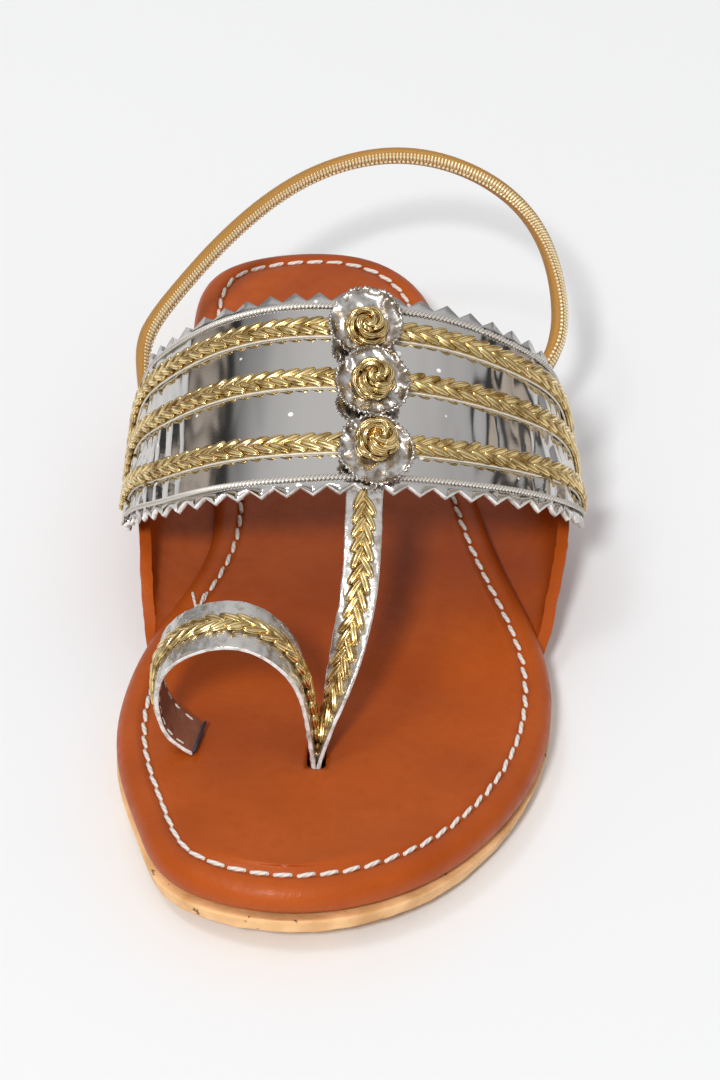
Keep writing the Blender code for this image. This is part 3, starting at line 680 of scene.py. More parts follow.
def wing_rows(rim, out):
    """Rows of a wing, each from under the footbed's edge out and up to the rim."""
    half = len(FOOTPRINT) // 2
    edge = FOOTPRINT[:half + 1] if out > 0 else [FOOTPRINT[0], *reversed(FOOTPRINT[half:])]
    points = [(row.share * LENGTH, row.side * BALL_WIDTH, row.height * WING_HEIGHT) for row in rim]
    rows = []
    for along, side, height in smooth(points, stops(len(points), WING_STEPS)):
        low = sole_top(along / LENGTH) + WING_WALL / 2 + GAP
        root = float(np.interp(along, [p.y for p in edge], [p.x for p in edge])) \
            - out * WING_FLANGE
        bowl = 1 + (WING_BOWL - 1) * ease(height - low, 0.0, WING_HEIGHT * WING_DEEP_FROM)
        rows.append([place(root + (side - root) * (1 - (1 - k / WING_COLUMNS) ** bowl), along,
                           low + (height - low) * (k / WING_COLUMNS) ** bowl)
                     for k in range(WING_COLUMNS + 1)])
    return rows


def creased(rows, depth):
    """The rows moved along their normals by depth(row share, column share, point)."""
    grid = np.array([[tuple(point) for point in row] for row in rows])
    normals = np.cross(np.gradient(grid, axis=0), np.gradient(grid, axis=1))
    last_row, last_column = len(rows) - 1, len(rows[0]) - 1
    return [[point + Vector(normals[i][j]).normalized()
             * depth(i / last_row, j / last_column, point)
             for j, point in enumerate(row)] for i, row in enumerate(rows)]


def sheet(name, rows, outward):
    """An open surface through the rows, facing outward, with UVs in metres: u lies across a
    row and v from row to row."""
    middle_row = rows[len(rows) // 2]
    half = len(rows[0]) // 2
    across = np.cumsum([0.0, *((b - a).length for a, b in zip(middle_row, middle_row[1:]))])
    ahead = np.cumsum([0.0, *((b[half] - a[half]).length for a, b in zip(rows, rows[1:]))])
    work = bmesh.new()
    layer = work.loops.layers.uv.new("UVMap")
    grid = [[work.verts.new(point) for point in row] for row in rows]
    for i in range(len(rows) - 1):
        for j in range(len(middle_row) - 1):
            spots = ((i, j), (i, j + 1), (i + 1, j + 1), (i + 1, j))
            face = work.faces.new([grid[a][b] for a, b in spots])
            for loop, (a, b) in zip(face.loops, spots):
                loop[layer].uv = (across[b], ahead[a])
    work.normal_update()
    work.faces.ensure_lookup_table()
    if work.faces[len(work.faces) // 2 + half // 2].normal.dot(outward) < 0:
        bmesh.ops.reverse_faces(work, faces=work.faces)
    return meshed(name, work, closed=False)


def walled(mesh, thickness, rounding=0.0, inner=0, rim=0, offset=0.0):
    """The sheet as a wall with rounded edges; inner and rim are steps in the list of finishes,
    and offset says how far the wall lies to the sheet's outside, 1 being wholly outside."""
    for _ in range(1 + max(inner, rim)):
        mesh.materials.append(tan_leather)
    mesh = with_modifier(mesh, "SOLIDIFY", thickness=thickness, offset=offset,
                         use_even_offset=True, material_offset=inner, material_offset_rim=rim)
    if rounding:
        mesh = with_modifier(mesh, "BEVEL", width=rounding, segments=RIM_STEPS,
                             limit_method="ANGLE", angle_limit=radians(60))
    return mesh


for name, rim, out, seed in (("medial", MEDIAL_RIM, -1, 3.7), ("lateral", LATERAL_RIM, 1, 8.2)):
    def wing_fold(i, j, point):
        """Depth of the soft folds from root to rim and of the fine puckers along the rim."""
        fold = noise.noise(Vector((point.y / FOLD_SPACING + seed, seed, 0))) \
            * sin(pi * min(j * 1.2, 1.0))
        spot = Vector((point.y * PUCKER_SCALE, point.z * PUCKER_SCALE * PUCKER_STRETCH, seed))
        return FOLD_DEPTH * fold + PUCKER_DEPTH * (0.25 + 0.75 * j ** 3) * noise.noise(spot)
    rows = creased(wing_rows(rim, out), wing_fold)
    mesh = walled(sheet(f"wing_{name}", rows, Vector((out, 0, 0))), WING_WALL, RIM_ROUND)
    fitted(f"{name}_wing", mesh, [tan_leather], [f"wing_{name}"])


# Instep band: silver foil leather lined with brown, cut with pinking shears along both edges.
# Its ends are pulled down outside the wings and sewn there, which crumples the foil.
BAND_WALL = 0.0018
BAND_SKIN = 0.0012
BAND_HEIGHT = 0.0730
PINK_TEETH = 28
PINK_DEPTH = 0.0027
PINK_STEPS = 5
BAND_ROWS = 44
CRUMPLE_DEPTH = 0.0012
CRUMPLE_FOLDS = Vector((2.6, 30.0, 0.0))
CRUMPLE_REACH = 0.22
WAVES = Vector((2.0, 14.0, 0.0))
WAVE_DEPTH = 0.00012

# The band's two edges from its medial to its lateral end: side as a share of the ball width,
# along as a share of the length, height as a share of the band height
BAND_FRONT = table(
    "side along height",
    (-0.430, 0.506, 0.260), (-0.406, 0.552, 0.411), (-0.341, 0.591, 0.534),
    (-0.220, 0.625, 0.671), (-0.052, 0.641, 0.753), (0.136, 0.637, 0.767),
    (0.325, 0.615, 0.705), (0.503, 0.581, 0.596), (0.618, 0.544, 0.466),
    (0.652, 0.474, 0.267))
BAND_REAR = table(
    "side along height",
    (-0.424, 0.351, 0.260), (-0.402, 0.359, 0.507), (-0.346, 0.387, 0.685),
    (-0.220, 0.417, 0.870), (-0.052, 0.435, 0.979), (0.126, 0.442, 1.000),
    (0.314, 0.435, 0.952), (0.472, 0.419, 0.829), (0.571, 0.387, 0.630),
    (0.600, 0.367, 0.267))
LAST_STATION = len(BAND_FRONT) - 1
STATION_STEP = 0.05


def through(rows, height, places):
    """The smooth line through a table of side, along and height, at the given places."""
    return smooth([place(row.side * BALL_WIDTH, row.along * LENGTH, row.height * height)
                   for row in rows], places)


def band_point(station, across):
    """Point on the band's middle surface, its outward normal and its front-to-rear direction."""
    places = (max(station - STATION_STEP, 0.0), station, min(station + STATION_STEP, LAST_STATION))
    front, rear = (through(rows, BAND_HEIGHT, places) for rows in (BAND_FRONT, BAND_REAR))
    before, point, after = (near.lerp(far, across) for near, far in zip(front, rear))
    width = (rear[1] - front[1]).normalized()
    return point, (after - before).cross(width).normalized(), width


def band_rows():
    """Rows from the pinked front edge to the pinked rear edge."""
    columns = 2 * PINK_TEETH * PINK_STEPS
    places = [LAST_STATION * i / columns for i in range(columns + 1)]
    rows = [[] for _ in range(BAND_ROWS + 3)]
    edges = zip(*(through(edge, BAND_HEIGHT, places) for edge in (BAND_FRONT, BAND_REAR)))
    for i, (near, far) in enumerate(edges):
        width = (far - near).normalized()
        tooth = PINK_DEPTH * (8 - 7 * abs((i / PINK_STEPS) % 2 - 1)) / 8
        near = near + width * PINK_DEPTH / 2
        far = far - width * PINK_DEPTH / 2
        rows[0].append(near - width * tooth)
        for k in range(BAND_ROWS + 1):
            rows[k + 1].append(near.lerp(far, k / BAND_ROWS))
        rows[-1].append(far + width * tooth)
    return rows


def band_crumple(i, j, point):
    """Depth of the dents towards the band's sewn ends and of its slow waves."""
    spot = Vector((i, j, 0))
    end = min(j, 1 - j) / CRUMPLE_REACH
    sharp = 0.4 - 2 * abs(noise.noise(spot * CRUMPLE_FOLDS))
    wave = noise.noise(Vector((j * WAVES.y, i * WAVES.x, 4.0)))
    return CRUMPLE_DEPTH * exp(-end * end) * sharp + WAVE_DEPTH * wave


# Fine wrinkles of thin foil, with sharp creases, on object coordinates
FOIL_WRINKLES, given, made = effect("foil_wrinkles", {"Scale": 260.0}, ("Height", "Crease"))
spot = spot_in(FOIL_WRINKLES, "Object")
sway = put(FOIL_WRINKLES, "ShaderNodeTexNoise", {"Vector": spot, "Scale": given["Scale"],
                                                 "Detail": 3.0})
warped = put(FOIL_WRINKLES, "ShaderNodeVectorMath",
             {0: sway.outputs["Color"], 1: (0.004,) * 3, 2: spot},
             operation="MULTIPLY_ADD").outputs[0]
facets = put(FOIL_WRINKLES, "ShaderNodeTexVoronoi", {"Vector": warped, "Scale": given["Scale"]},
             feature="DISTANCE_TO_EDGE").outputs["Distance"]
FOIL_WRINKLES.links.new(calc(FOIL_WRINKLES, "ADD", sway.outputs["Fac"], facets), made["Height"])
FOIL_WRINKLES.links.new(ramp(FOIL_WRINKLES, facets, 0.0, 0.10, 1.0, 0.0), made["Crease"])

# Low on the band, towards its sewn ends, the foil's crease lines are painted dark brown: a painted
# reflection.
FOIL = (0.63, 0.61, 0.585)
FOIL_PAINTED_REFLECTION = (0.20, 0.165, 0.14)
FOIL_PAINTED_GLINT = (0.90, 0.90, 0.88)
REFLECTION_PAINT_TOP, REFLECTION_PAINT_FULL = 0.050, 0.030
silver_foil, tree, shader = paint("silver_foil", 0.12, 1.0)
folds = place_effect(tree, FOIL_WRINKLES, Scale=150.0)
fine = place_effect(tree, PEBBLE_GRAIN, Grain=2600.0, Blotch=70.0)
low_down = ramp(tree, parts_of(tree, "Object")["Z"], REFLECTION_PAINT_TOP, REFLECTION_PAINT_FULL)
wear_and_painted_reflection = ramp(tree, calc(tree, "MULTIPLY", folds["Crease"], low_down), 0.2, 1.0)
# Small near-white, non-metallic spots scattered over the foil are painted glints.
glint_cells = put(tree, "ShaderNodeTexVoronoi", {"Vector": spot_in(tree, "Object"), "Scale": 150.0})
painted_glint = ramp(tree, glint_cells.outputs["Distance"], 0.075, 0.100, 1.0, 0.0)
tree.links.new(tint(tree, painted_glint, tint(tree, wear_and_painted_reflection, FOIL, FOIL_PAINTED_REFLECTION), FOIL_PAINTED_GLINT),
               shader["Base Color"])
tree.links.new(ramp(tree, painted_glint, 0.0, 1.0, 1.0, 0.0), shader["Metallic"])
tree.links.new(ramp(tree, fine["Tone"], 0.3, 0.7, 0.07, 0.12), shader["Roughness"])
relief(tree, shader, calc(tree, "MULTIPLY_ADD", fine["Height"], 0.005,
                          calc(tree, "MULTIPLY", folds["Height"], low_down)), 0.0008, 0.40)

brown_lining = two_tone("brown_lining", (0.62, 0.0), PEBBLE_GRAIN,
                        {"Grain": 1200.0, "Blotch": 60.0}, (0.27, 0.085, 0.040),
                        (0.162, 0.051, 0.024), 0.00018, 0.6)
cut_edge = two_tone("cut_edge", (0.6, 0.0), PEBBLE_GRAIN, {"Grain": 1800.0, "Blotch": 500.0},
                    (0.80, 0.78, 0.75), (0.30, 0.25, 0.21), 0.0002, 0.6, 0.45, 0.75)


def lined(name, rows, foil, skin, wall, outward=UP, rounding=0.0):
    """A strip of the upper: foil over brown lining with a pale cut edge."""
    mesh = walled(sheet(name, rows, outward), skin, rounding, 1, 2, wall / skin - 1)
    fitted(name, mesh, [foil, brown_lining, cut_edge], ["upper"])


lined("instep_band", creased(band_rows(), band_crumple), silver_foil, BAND_SKIN, BAND_WALL)


# Hem cords: a thin twisted cord of silver thread, sewn on just inside the pinked teeth of both
# edges.
HEM_INSET = 0.0013
HEM_LIFT = 0.00033
HEM_PITCH = 0.0009
HEM_SLANT = radians(48.0)
HEM_LOBE = (0.0017, 0.0008, 0.0009)
HEM_STEPS = 150
STRAND = unit_lobe("strand", 10, 8, 1.3)
# The cord is painted darker between its filaments, a painted shade.
silver_cord = two_tone("silver_cord", (0.38, 0.55), FILAMENT_TWIST, {"Along": 0.0, "Round": 5.0},
                       (0.42, 0.38, 0.33), (0.86, 0.83, 0.78), 0.0001, 0.6)


def band_line(across_at, count, lift, start=0.0):
    """Points, outs and widths along the band, lifted off it, where across_at(share) says."""
    points, outs, widths = [], [], []
    for i in range(count + 1):
        share = start + (1 - 2 * start) * i / count
        point, out, width = band_point(LAST_STATION * share, across_at(share))
        points.append(point + out * lift)
        outs.append(out)
        widths.append(width)
    return points, outs, widths


for name, side in (("front", 0), ("rear", 1)):
    def hem_across(share):
        """The cord's place across the band, a fixed distance in from the pinked edge."""
        near, far = (through(rows, BAND_HEIGHT, [LAST_STATION * share])[0]
                     for rows in (BAND_FRONT, BAND_REAR))
        return abs(side - (PINK_DEPTH / 2 + HEM_INSET) / (far - near).length)
    points, outs, _ = band_line(hem_across, HEM_STEPS, BAND_WALL / 2 + HEM_LIFT)
    mesh = laid(points, outs, SEAM, STRAND, silver_cord, HEM_PITCH, HEM_LOBE, slant=HEM_SLANT)
    fitted(f"hem_cord_{name}", mesh, [silver_cord])


# Band braids: three flat plaits of glossy gold strand on a thin pale tape, sewn across the band
# from wing to wing. Each is two rows of slanted lobes that meet like a herringbone.
PLAIT_PITCH = 0.0035
PLAIT_LOBE = (0.0058, 0.0022, 0.0017)
PLAIT_ACROSS = 0.00098
PLAIT_LIFT = 0.42
PLAIT_SLANT = radians(24.0)
PLAIT_SWAY = radians(6.0)
TAPE_WIDTH = 0.0050
TAPE_THICKNESS = 0.0004
TAPE_EDGE = 0.0003
TAPE_STEPS = 90
TAPE_START = 0.01
PLAIT = lay_tree("plait_of_lobes", (1, -1))

# The ridges of the strand's twist are painted cream, a painted highlight, and its grooves darker,
# a painted shade.
GOLD_PAINTED_HIGHLIGHT = (1.0, 0.82, 0.44)
GOLD_BASE = (0.55, 0.33, 0.073)
GOLD_DULL = (0.31, 0.175, 0.038)
gold_strand, tree, shader = paint("gold_strand", 0.23, 1.0)
twist = place_effect(tree, FILAMENT_TWIST, Along=0.4, Round=7.0)["Height"]
wear_and_painted_reflection = place_effect(tree, PEBBLE_GRAIN, Grain=2000.0, Blotch=330.0)["Tone"]
colour = tint(tree, ramp(tree, twist, 0.0, 0.6), GOLD_BASE, GOLD_PAINTED_HIGHLIGHT)
tree.links.new(tint(tree, ramp(tree, wear_and_painted_reflection, 0.45, 0.70), colour, GOLD_DULL), shader["Base Color"])
relief(tree, shader, twist, 0.00015, 0.8)

TAPE_GOLD = (0.46, 0.30, 0.08)
TAPE_DULL = (0.26, 0.15, 0.03)
TAPE_PALE = (0.80, 0.74, 0.62)
edged_tape, tree, shader = paint("edged_tape", 0.55, 0.2)
grain = place_effect(tree, PEBBLE_GRAIN, Grain=2200.0, Blotch=400.0)
off_middle = calc(tree, "ABSOLUTE", calc(tree, "SUBTRACT", parts_of(tree, "UV")["X"],
                                         TAPE_WIDTH / 2))
edge = ramp(tree, off_middle, TAPE_WIDTH / 2 - TAPE_EDGE, TAPE_WIDTH / 2 - TAPE_EDGE / 2)
tree.links.new(tint(tree, edge, tint(tree, grain["Tone"], TAPE_GOLD, TAPE_DULL), TAPE_PALE),
               shader["Base Color"])
relief(tree, shader, grain["Height"], 0.00015, 0.6)

# Where each braid and its rosette cross the band, shares of the way from front to rear edge, the
# rosette's station, and how far its disc sits behind the bud, metres
CROSSINGS = table(
    "name at_ends at_middle rosette station setback",
    ("front", 0.25, 0.22, 0.195, 5.05, -0.0020), ("middle", 0.53, 0.56, 0.510, 5.01, 0.0000),
    ("rear", 0.79, 0.83, 0.785, 4.93, 0.0018))


def ribbon_rows(points, widths, sizes, columns):
    """Rows of a flat ribbon along the points."""
    return [[point + width * wide * (k / columns - 0.5) for k in range(columns + 1)]
            for point, width, wide in zip(points, widths, sizes)]


def plaited(name, points, outs, lift, lobe, slant, seed, braid):
    """A plait of gold strand along the points, lifted off them."""
    mesh = laid([point + out * lift for point, out in zip(points, outs)], outs, PLAIT, STRAND,
                gold_strand, PLAIT_PITCH, lobe, PLAIT_ACROSS, slant, PLAIT_SWAY, seed)
    fitted(name, mesh, [gold_strand], [braid])


for crossing in CROSSINGS:
    def braid_across(share):
        """The braid's place across the band, bowed towards its middle."""
        return crossing.at_ends + (crossing.at_middle - crossing.at_ends) * sin(pi * share)
    points, outs, widths = band_line(braid_across, TAPE_STEPS,
                                     BAND_WALL / 2 + TAPE_THICKNESS / 2, TAPE_START)
    rows = ribbon_rows(points, widths, [TAPE_WIDTH] * len(points), 2)
    fitted(f"tape_{crossing.name}", walled(sheet("tape", rows, UP), TAPE_THICKNESS), [edged_tape])
    plaited(f"plait_{crossing.name}", points, outs,
            TAPE_THICKNESS / 2 + PLAIT_LOBE[2] * PLAIT_LIFT, PLAIT_LOBE, PLAIT_SLANT, 5,
            f"braid_{crossing.name}")


# Rosettes: three pinked discs of thin silver foil down the middle of the band, lapped like
# tiles, each with a bud knotted from coils of gold strand that is sewn through its middle.
DISC_RADIUS = 0.0085
DISC_THICKNESS = 0.0005
DISC_TEETH = 46
DISC_TOOTH_STEPS = 4
DISC_TILT = radians(14.0)
DISC_SEAT = 0.6
DISC_HOLE = 0.08
DISC_NOTCH = 0.075
DISC_RINGS = 14
DISC_DENTS = 0.0011
DISC_DENT_SCALE = 240.0
DISC_CURL = 0.0006
DISC_DISH = 0.04
DISC_RAGGED = 0.05
BRAID_THICKNESS = 0.0010
BUD_RADIUS = 0.0047
BUD_HEIGHT = 0.0054
BUD_CORE = 0.78


def crumpled(name, bright, dull, dull_from):
    """A finish of thin crumpled foil, dull where the blotches pass a level."""
    made, tree, shader = paint(name, 0.27, 0.9)
    mottle = place_effect(tree, PEBBLE_GRAIN, Grain=900.0, Blotch=420.0)["Tone"]
    tree.links.new(tint(tree, ramp(tree, mottle, dull_from, dull_from + 0.18), bright, dull),
                   shader["Base Color"])
    relief(tree, shader, place_effect(tree, FOIL_WRINKLES, Scale=330.0)["Height"], 0.0004, 0.5)
    return made


crumpled_foil = crumpled("crumpled_foil", (0.54, 0.52, 0.50), (0.28, 0.225, 0.17), 0.42)


def disc_rows(middle, tilt, side, normal, seed):
    """Rings of the disc from its middle to its pinked edge, as rows that close on themselves."""
    rows = []
    columns = DISC_TEETH * DISC_TOOTH_STEPS
    for k in range(DISC_RINGS + 1):
        radius = DISC_HOLE + (1 - DISC_HOLE) * k / DISC_RINGS
        notch = DISC_NOTCH * soft_step(radius, 0.90, 1.0)
        curl = DISC_CURL * soft_step(radius, 0.84, 1.0)
        row = []
        for i in range(columns + 1):
            angle = tau * (i % columns) / columns
            around = Vector((cos(angle), sin(angle), seed))
            reach = radius * (1 - notch * abs((i / DISC_TOOTH_STEPS) % 1 * 2 - 1)
                              + DISC_RAGGED * radius * noise.noise(around * 1.7))
            spot = Vector((around.x, around.y, 0)) * reach * DISC_RADIUS
            dent = 0.6 - 2 * abs(noise.noise(spot * DISC_DENT_SCALE + UP * seed))
            rise = DISC_DENTS * radius * dent + curl * (0.7 + noise.noise(around * 2.5)) \
                + DISC_DISH * DISC_RADIUS * radius ** 2
            row.append(middle + tilt * spot.x + side * spot.y + normal * rise)
        rows.append(row)
    return rows


# One coil of the bud is an arc of strand: its turn round the bud, how high up the dome it lies,
# its length and how steeply it climbs, in degrees. Each tier has so many coils alike.
COILS = [
    coil for count, step, first, *rest in (
        (6, 60, 0, 6, 76, 20), (5, 72, 30, 27, 88, 28), (4, 90, 10, 48, 100, 30),
        (2, 160, 40, 72, 170, 26))
    for coil in table("turn up sweep climb", *((step * k + first, *rest) for k in range(count)))]
COIL_THICKNESS = 0.00142
COIL_STRAY = 9.0
COIL_STEPS = 12
COIL_SIDES = 8
COIL_FLATNESS = 1.15
COIL_SEAT = 0.86


def coil_rings(foot, first, second, normal, coil, seed):
    """Rings of one coil: a tapered strand laid on the bud's dome."""
    line, outs, rings = [], [], []
    stray = COIL_STRAY * 2 * noise.noise(Vector((coil.turn * 0.37, coil.up * 0.21, seed * 0.13)))
    for k in range(COIL_STEPS + 1):
        share = k / COIL_STEPS
        angle = radians(coil.turn + seed + 2 * stray + coil.sweep * (share - 0.5))
        up = radians(min(coil.up + stray + coil.climb * (share - 0.5), 89.0))
        away = (first * cos(angle) + second * sin(angle)) * cos(up)
        bulge = 1 + 0.10 * sin(pi * share)
        line.append(foot + away * BUD_RADIUS * COIL_SEAT * bulge
                    + normal * BUD_HEIGHT * (0.16 + 0.70 * sin(up) * bulge))
        outs.append(away + normal * sin(up))
    for k, (point, out) in enumerate(zip(line, outs)):
        wide = out.cross(direction(line, k)).normalized()
        size = COIL_THICKNESS / 2 * sin(pi * (0.08 + 0.84 * k / COIL_STEPS)) ** 0.6
        rings.append([point + wide * cos(a) * size * COIL_FLATNESS + out * sin(a) * size
                      for a in (tau * i / COIL_SIDES for i in range(COIL_SIDES))])
    return rings


def bud_mesh(foot, first, second, normal, seed):
    """A bud: coils of strand round a core of the same gold."""
    work = bmesh.new()
    for coil in COILS:
        tube(work, coil_rings(foot, first, second, normal, coil, seed))
    core = []
    for up in (radians(15 * k) for k in range(7)):
        reach = max(cos(up), 0.05) * BUD_RADIUS * BUD_CORE
        core.append([foot + (first * cos(a) + second * sin(a)) * reach
                     + normal * BUD_HEIGHT * (0.05 + 0.72 * sin(up))
                     for a in (tau * i / 16 for i in range(16))])
    tube(work, core)
    return meshed("bud", work)


for number, crossing in enumerate(CROSSINGS):
    point, out, width = band_point(crossing.station, crossing.rosette)
    tilt = width * cos(DISC_TILT) + out * sin(DISC_TILT)
    normal = (out * cos(DISC_TILT) - width * sin(DISC_TILT)).normalized()
    side = tilt.cross(normal)
    base = point + out * (BAND_WALL / 2 + BRAID_THICKNESS + 2 * GAP + DISC_THICKNESS / 2
                          + DISC_RADIUS * sin(DISC_TILT) * DISC_SEAT)
    middle = base + tilt * crossing.setback
    work = bmesh.new()
    work.from_mesh(sheet("disc", disc_rows(middle, tilt, side, normal, number * 3.1), normal))
    bmesh.ops.remove_doubles(work, verts=work.verts, dist=1e-6)
    bmesh.ops.holes_fill(work, edges=[
        edge for edge in work.edges
        if edge.is_boundary and (edge.verts[0].co - middle).length < DISC_RADIUS * 0.4])
    mesh = walled(meshed("disc", work), DISC_THICKNESS)
    fitted(f"pinked_disc_{crossing.name}", mesh, [crumpled_foil], [f"disc_{crossing.name}"])
    bud = bud_mesh(base + normal * (DISC_THICKNESS / 2 + GAP), tilt, side, normal, 40.0 * number)
    fitted(f"coiled_bud_{crossing.name}", bud, [gold_strand], [f"bud_{crossing.name}"])


# Toe strap and toe ring: narrow strips of the same foil leather, lined with brown, with a gold
# plait down the middle. The strap runs from under the band to the slit; the ring rises there.
STRAP_WALL = 0.0018
STRAP_SKIN = 0.0010
STRAP_WIDTH = 0.0080
STRAP_TUCK = 0.0110
STRAP_BEND = 0.4
STRAP_SEAT = STRAP_WALL * 0.45
STRAP_STATION = 4.97
TOE_RING_REACH = 0.0334
TOE_RING_HEIGHT = 0.0338
TOE_RING_WIDTH = 0.0142
TOE_RING_LEAN = Vector((0, -1, -0.12))
STRIP_STEPS = 16
STRIP_COLUMNS = 12
STRIP_ROUNDING = 0.00025
MARGIN_CRUMPLE = 0.00050
MARGIN_SCALE = 420
TOE_PLAIT_LOBE = (0.0060, 0.0023, 0.0017)
TOE_PLAIT_LIFT = 0.30
TOE_PLAIT_SLANT = radians(25.0)
LINING_SEAM_INSET = 0.0011
LINING_SEAM_SHORT = 8
LINING_SEAM_PITCH = 0.0032
LINING_STITCH = (0.0022, 0.0005, 0.0005)
strap_foil = crumpled("strap_foil", (0.66, 0.64, 0.61), (0.44, 0.39, 0.33), 0.50)

# Shares of the way along, of the height above the slit and of the sideways step still to go,
# and how far the strap's quarter turn has come
TOE_STRAP = table(
    "run height side turn",
    (0.00, 1.000, 1.00, 0.00), (0.30, 0.900, 1.00, 0.00), (0.58, 0.720, 0.95, 0.12),
    (0.81, 0.470, 0.64, 0.45), (0.94, 0.220, 0.27, 0.85), (1.00, 0.000, 0.00, 1.00))

# The ring from the slit over the big toe's place to its free end: shares of its reach to the
# medial side, of its height, of its width for a shift to the heel, and its own width
TOE_RING = table(
    "reach height shift width",
    (0.00, 0.00, 0.00, 0.64), (0.03, 0.24, 0.00, 0.70), (0.10, 0.61, 0.02, 0.86),
    (0.25, 0.87, 0.04, 0.98), (0.49, 1.00, 0.06, 1.00), (0.76, 0.93, 0.14, 1.00),
    (0.95, 0.73, 0.24, 0.98), (1.00, 0.46, 0.29, 0.92), (0.92, 0.19, 0.26, 0.82),
    (0.74, 0.02, 0.18, 0.72))


def turned_width(line, i, wish):
    """The wished direction, made square to the line's own direction at that point."""
    run = direction(line, i)
    return (wish - run * wish.dot(run)).normalized()


def strip_through(points, values, wish):
    """A strip's middle line, its widths as near as can be to wish(value), and the values."""
    places = stops(len(points), STRIP_STEPS)
    line = smooth(points, places)
    spread = np.interp(places, range(len(values)), values)
    return line, [turned_width(line, i, wish(value)) for i, value in enumerate(spread)], spread


def strap_wish(turn):
    """The toe strap's width direction when its quarter turn has come this far."""
    return Vector((cos(turn * pi / 2), -sin(turn * pi / 2), 0))


down = UP * (FOOTBED_THICKNESS - 2 * GAP)
top, out, width = band_point(STRAP_STATION, 0.0)
start = top + width * STRAP_TUCK * STRAP_BEND - out * STRAP_SEAT
foot = SLIT_FOOT + Vector((STRAP_SEAT, 0, 0))
points = [start + width * STRAP_TUCK * (1 - STRAP_BEND)]
points += [Vector((foot.x + (start.x - foot.x) * row.side, start.y + (foot.y - start.y) * row.run,
                   foot.z + (start.z - foot.z) * row.height)) for row in TOE_STRAP]
STRAP = strip_through([*points, foot - down], [0.0, *(row.turn for row in TOE_STRAP), 1.0],
                      strap_wish)
foot = SLIT_FOOT - Vector((STRAP_SEAT, 0, 0))
points = [foot + Vector((-row.reach * TOE_RING_REACH, row.shift * TOE_RING_WIDTH,
                         row.height * TOE_RING_HEIGHT)) for row in TOE_RING]
points[-1] = points[-1] + UP * (STRAP_WALL / 2 + GAP)
RING = strip_through([foot - down, *points], [TOE_RING[0].width, *(row.width for row in TOE_RING)],
                     lambda value: TOE_RING_LEAN)

for name, (line, widths, _), sizes, first, last, outward, seed in (
        ("toe_strap", STRAP, [STRAP_WIDTH] * len(STRAP[0]), 26, 17, UP, 2.0),
        ("toe_ring", RING, RING[2] * TOE_RING_WIDTH, 20, 6, Vector((0, -0.2, 1)), 9.0)):
    def margin_crumple(i, j, point):
        """Depth of the dents in the foil on both sides of the plait."""
        from_middle = abs(2 * j - 1)
        margin = soft_step(from_middle, 0.3, 0.6) * (1 - soft_step(from_middle, 0.75, 0.95))
        sharp = 1 - 2 * abs(noise.noise(point * MARGIN_SCALE + Vector((seed, 0, 0))))
        return MARGIN_CRUMPLE * margin * (sharp - 0.5)
    rows = creased(ribbon_rows(line, widths, sizes, STRIP_COLUMNS), margin_crumple)
    lined(name, rows, strap_foil, STRAP_SKIN, STRAP_WALL, outward, STRIP_ROUNDING)
    outs = [direction(line, i).cross(width).normalized() for i, width in enumerate(widths)]
    plaited(f"{name}_plait", line[first:-last], outs[first:-last],
            STRAP_WALL / 2 + TOE_PLAIT_LOBE[2] * TOE_PLAIT_LIFT, TOE_PLAIT_LOBE, TOE_PLAIT_SLANT,
            7, f"braid_{name}")
    for side, edge in ((-1, "rear"), (1, "front")):
        seam = [point + width * side * (wide / 2 - LINING_SEAM_INSET)
                - out * (STRAP_SKIN - STRAP_WALL / 2)
                for point, width, wide, out in zip(line, widths, sizes, outs)]
        mesh = laid(seam[:-LINING_SEAM_SHORT], outs[:-LINING_SEAM_SHORT], SEAM, THREAD_ROD,
                    white_thread, LINING_SEAM_PITCH, LINING_STITCH)
        fitted(f"{name}_lining_seam_{edge}", mesh, [white_thread])

navy_binding, _, shader = paint("navy_binding", 0.55)
shader["Base Color"].default_value = (0.020, 0.030, 0.055, 1.0)
rows = ribbon_rows(line[-2:], widths[-2:], sizes[-2:], 2)
fitted("toe_ring_binding", walled(sheet("binding", rows, outward), STRAP_WALL), [navy_binding])


# Heel strap: round gold elastic with a covered rubber core, standing in an arc behind the heel.
# Its ends are pressed flat and sewn outside the wings. A ribbed cream stripe with a beaded edge
# runs along it.
ELASTIC_WIDTH = 0.0052
ELASTIC_THICKNESS = 0.0038
ELASTIC_END = 0.0015
ELASTIC_END_REACH = 0.0200
ELASTIC_HEIGHT = 0.0500
ELASTIC_STEPS = 12
ELASTIC_SIDES = 24
STRIPE_AT = radians(35.0)
STRIPE_WANDER = radians(-112.0)
STRIPE_LIFT = 0.0001
RIB_PITCH = 0.00085
BEAD_PITCH = 0.0011
RIB_SIZE = (0.00064, 0.0022, 0.0007)
BEAD_SIZE = (0.00085, 0.0008, 0.0009)
BEAD_STEP = radians(36.0)

# Its middle line: side as a share of the ball width, along as a share of the length, height as
# a share of the strap's height, and its lean to the inside
HEEL_STRAP = table(
    "side along height lean",
    (-0.420, 0.318, 0.38, 0.00), (-0.430, 0.285, 0.50, 0.05), (-0.424, 0.255, 0.60, 0.15),
    (-0.345, 0.198, 0.71, 0.35), (-0.240, 0.142, 0.82, 0.55), (-0.060, 0.072, 0.94, 0.70),
    (0.150, 0.038, 1.00, 0.75), (0.325, 0.045, 0.99, 0.75), (0.470, 0.078, 0.93, 0.70),
    (0.562, 0.130, 0.84, 0.55), (0.602, 0.195, 0.72, 0.35), (0.592, 0.248, 0.60, 0.15),
    (0.550, 0.278, 0.49, 0.05), (0.540, 0.298, 0.38, 0.00))

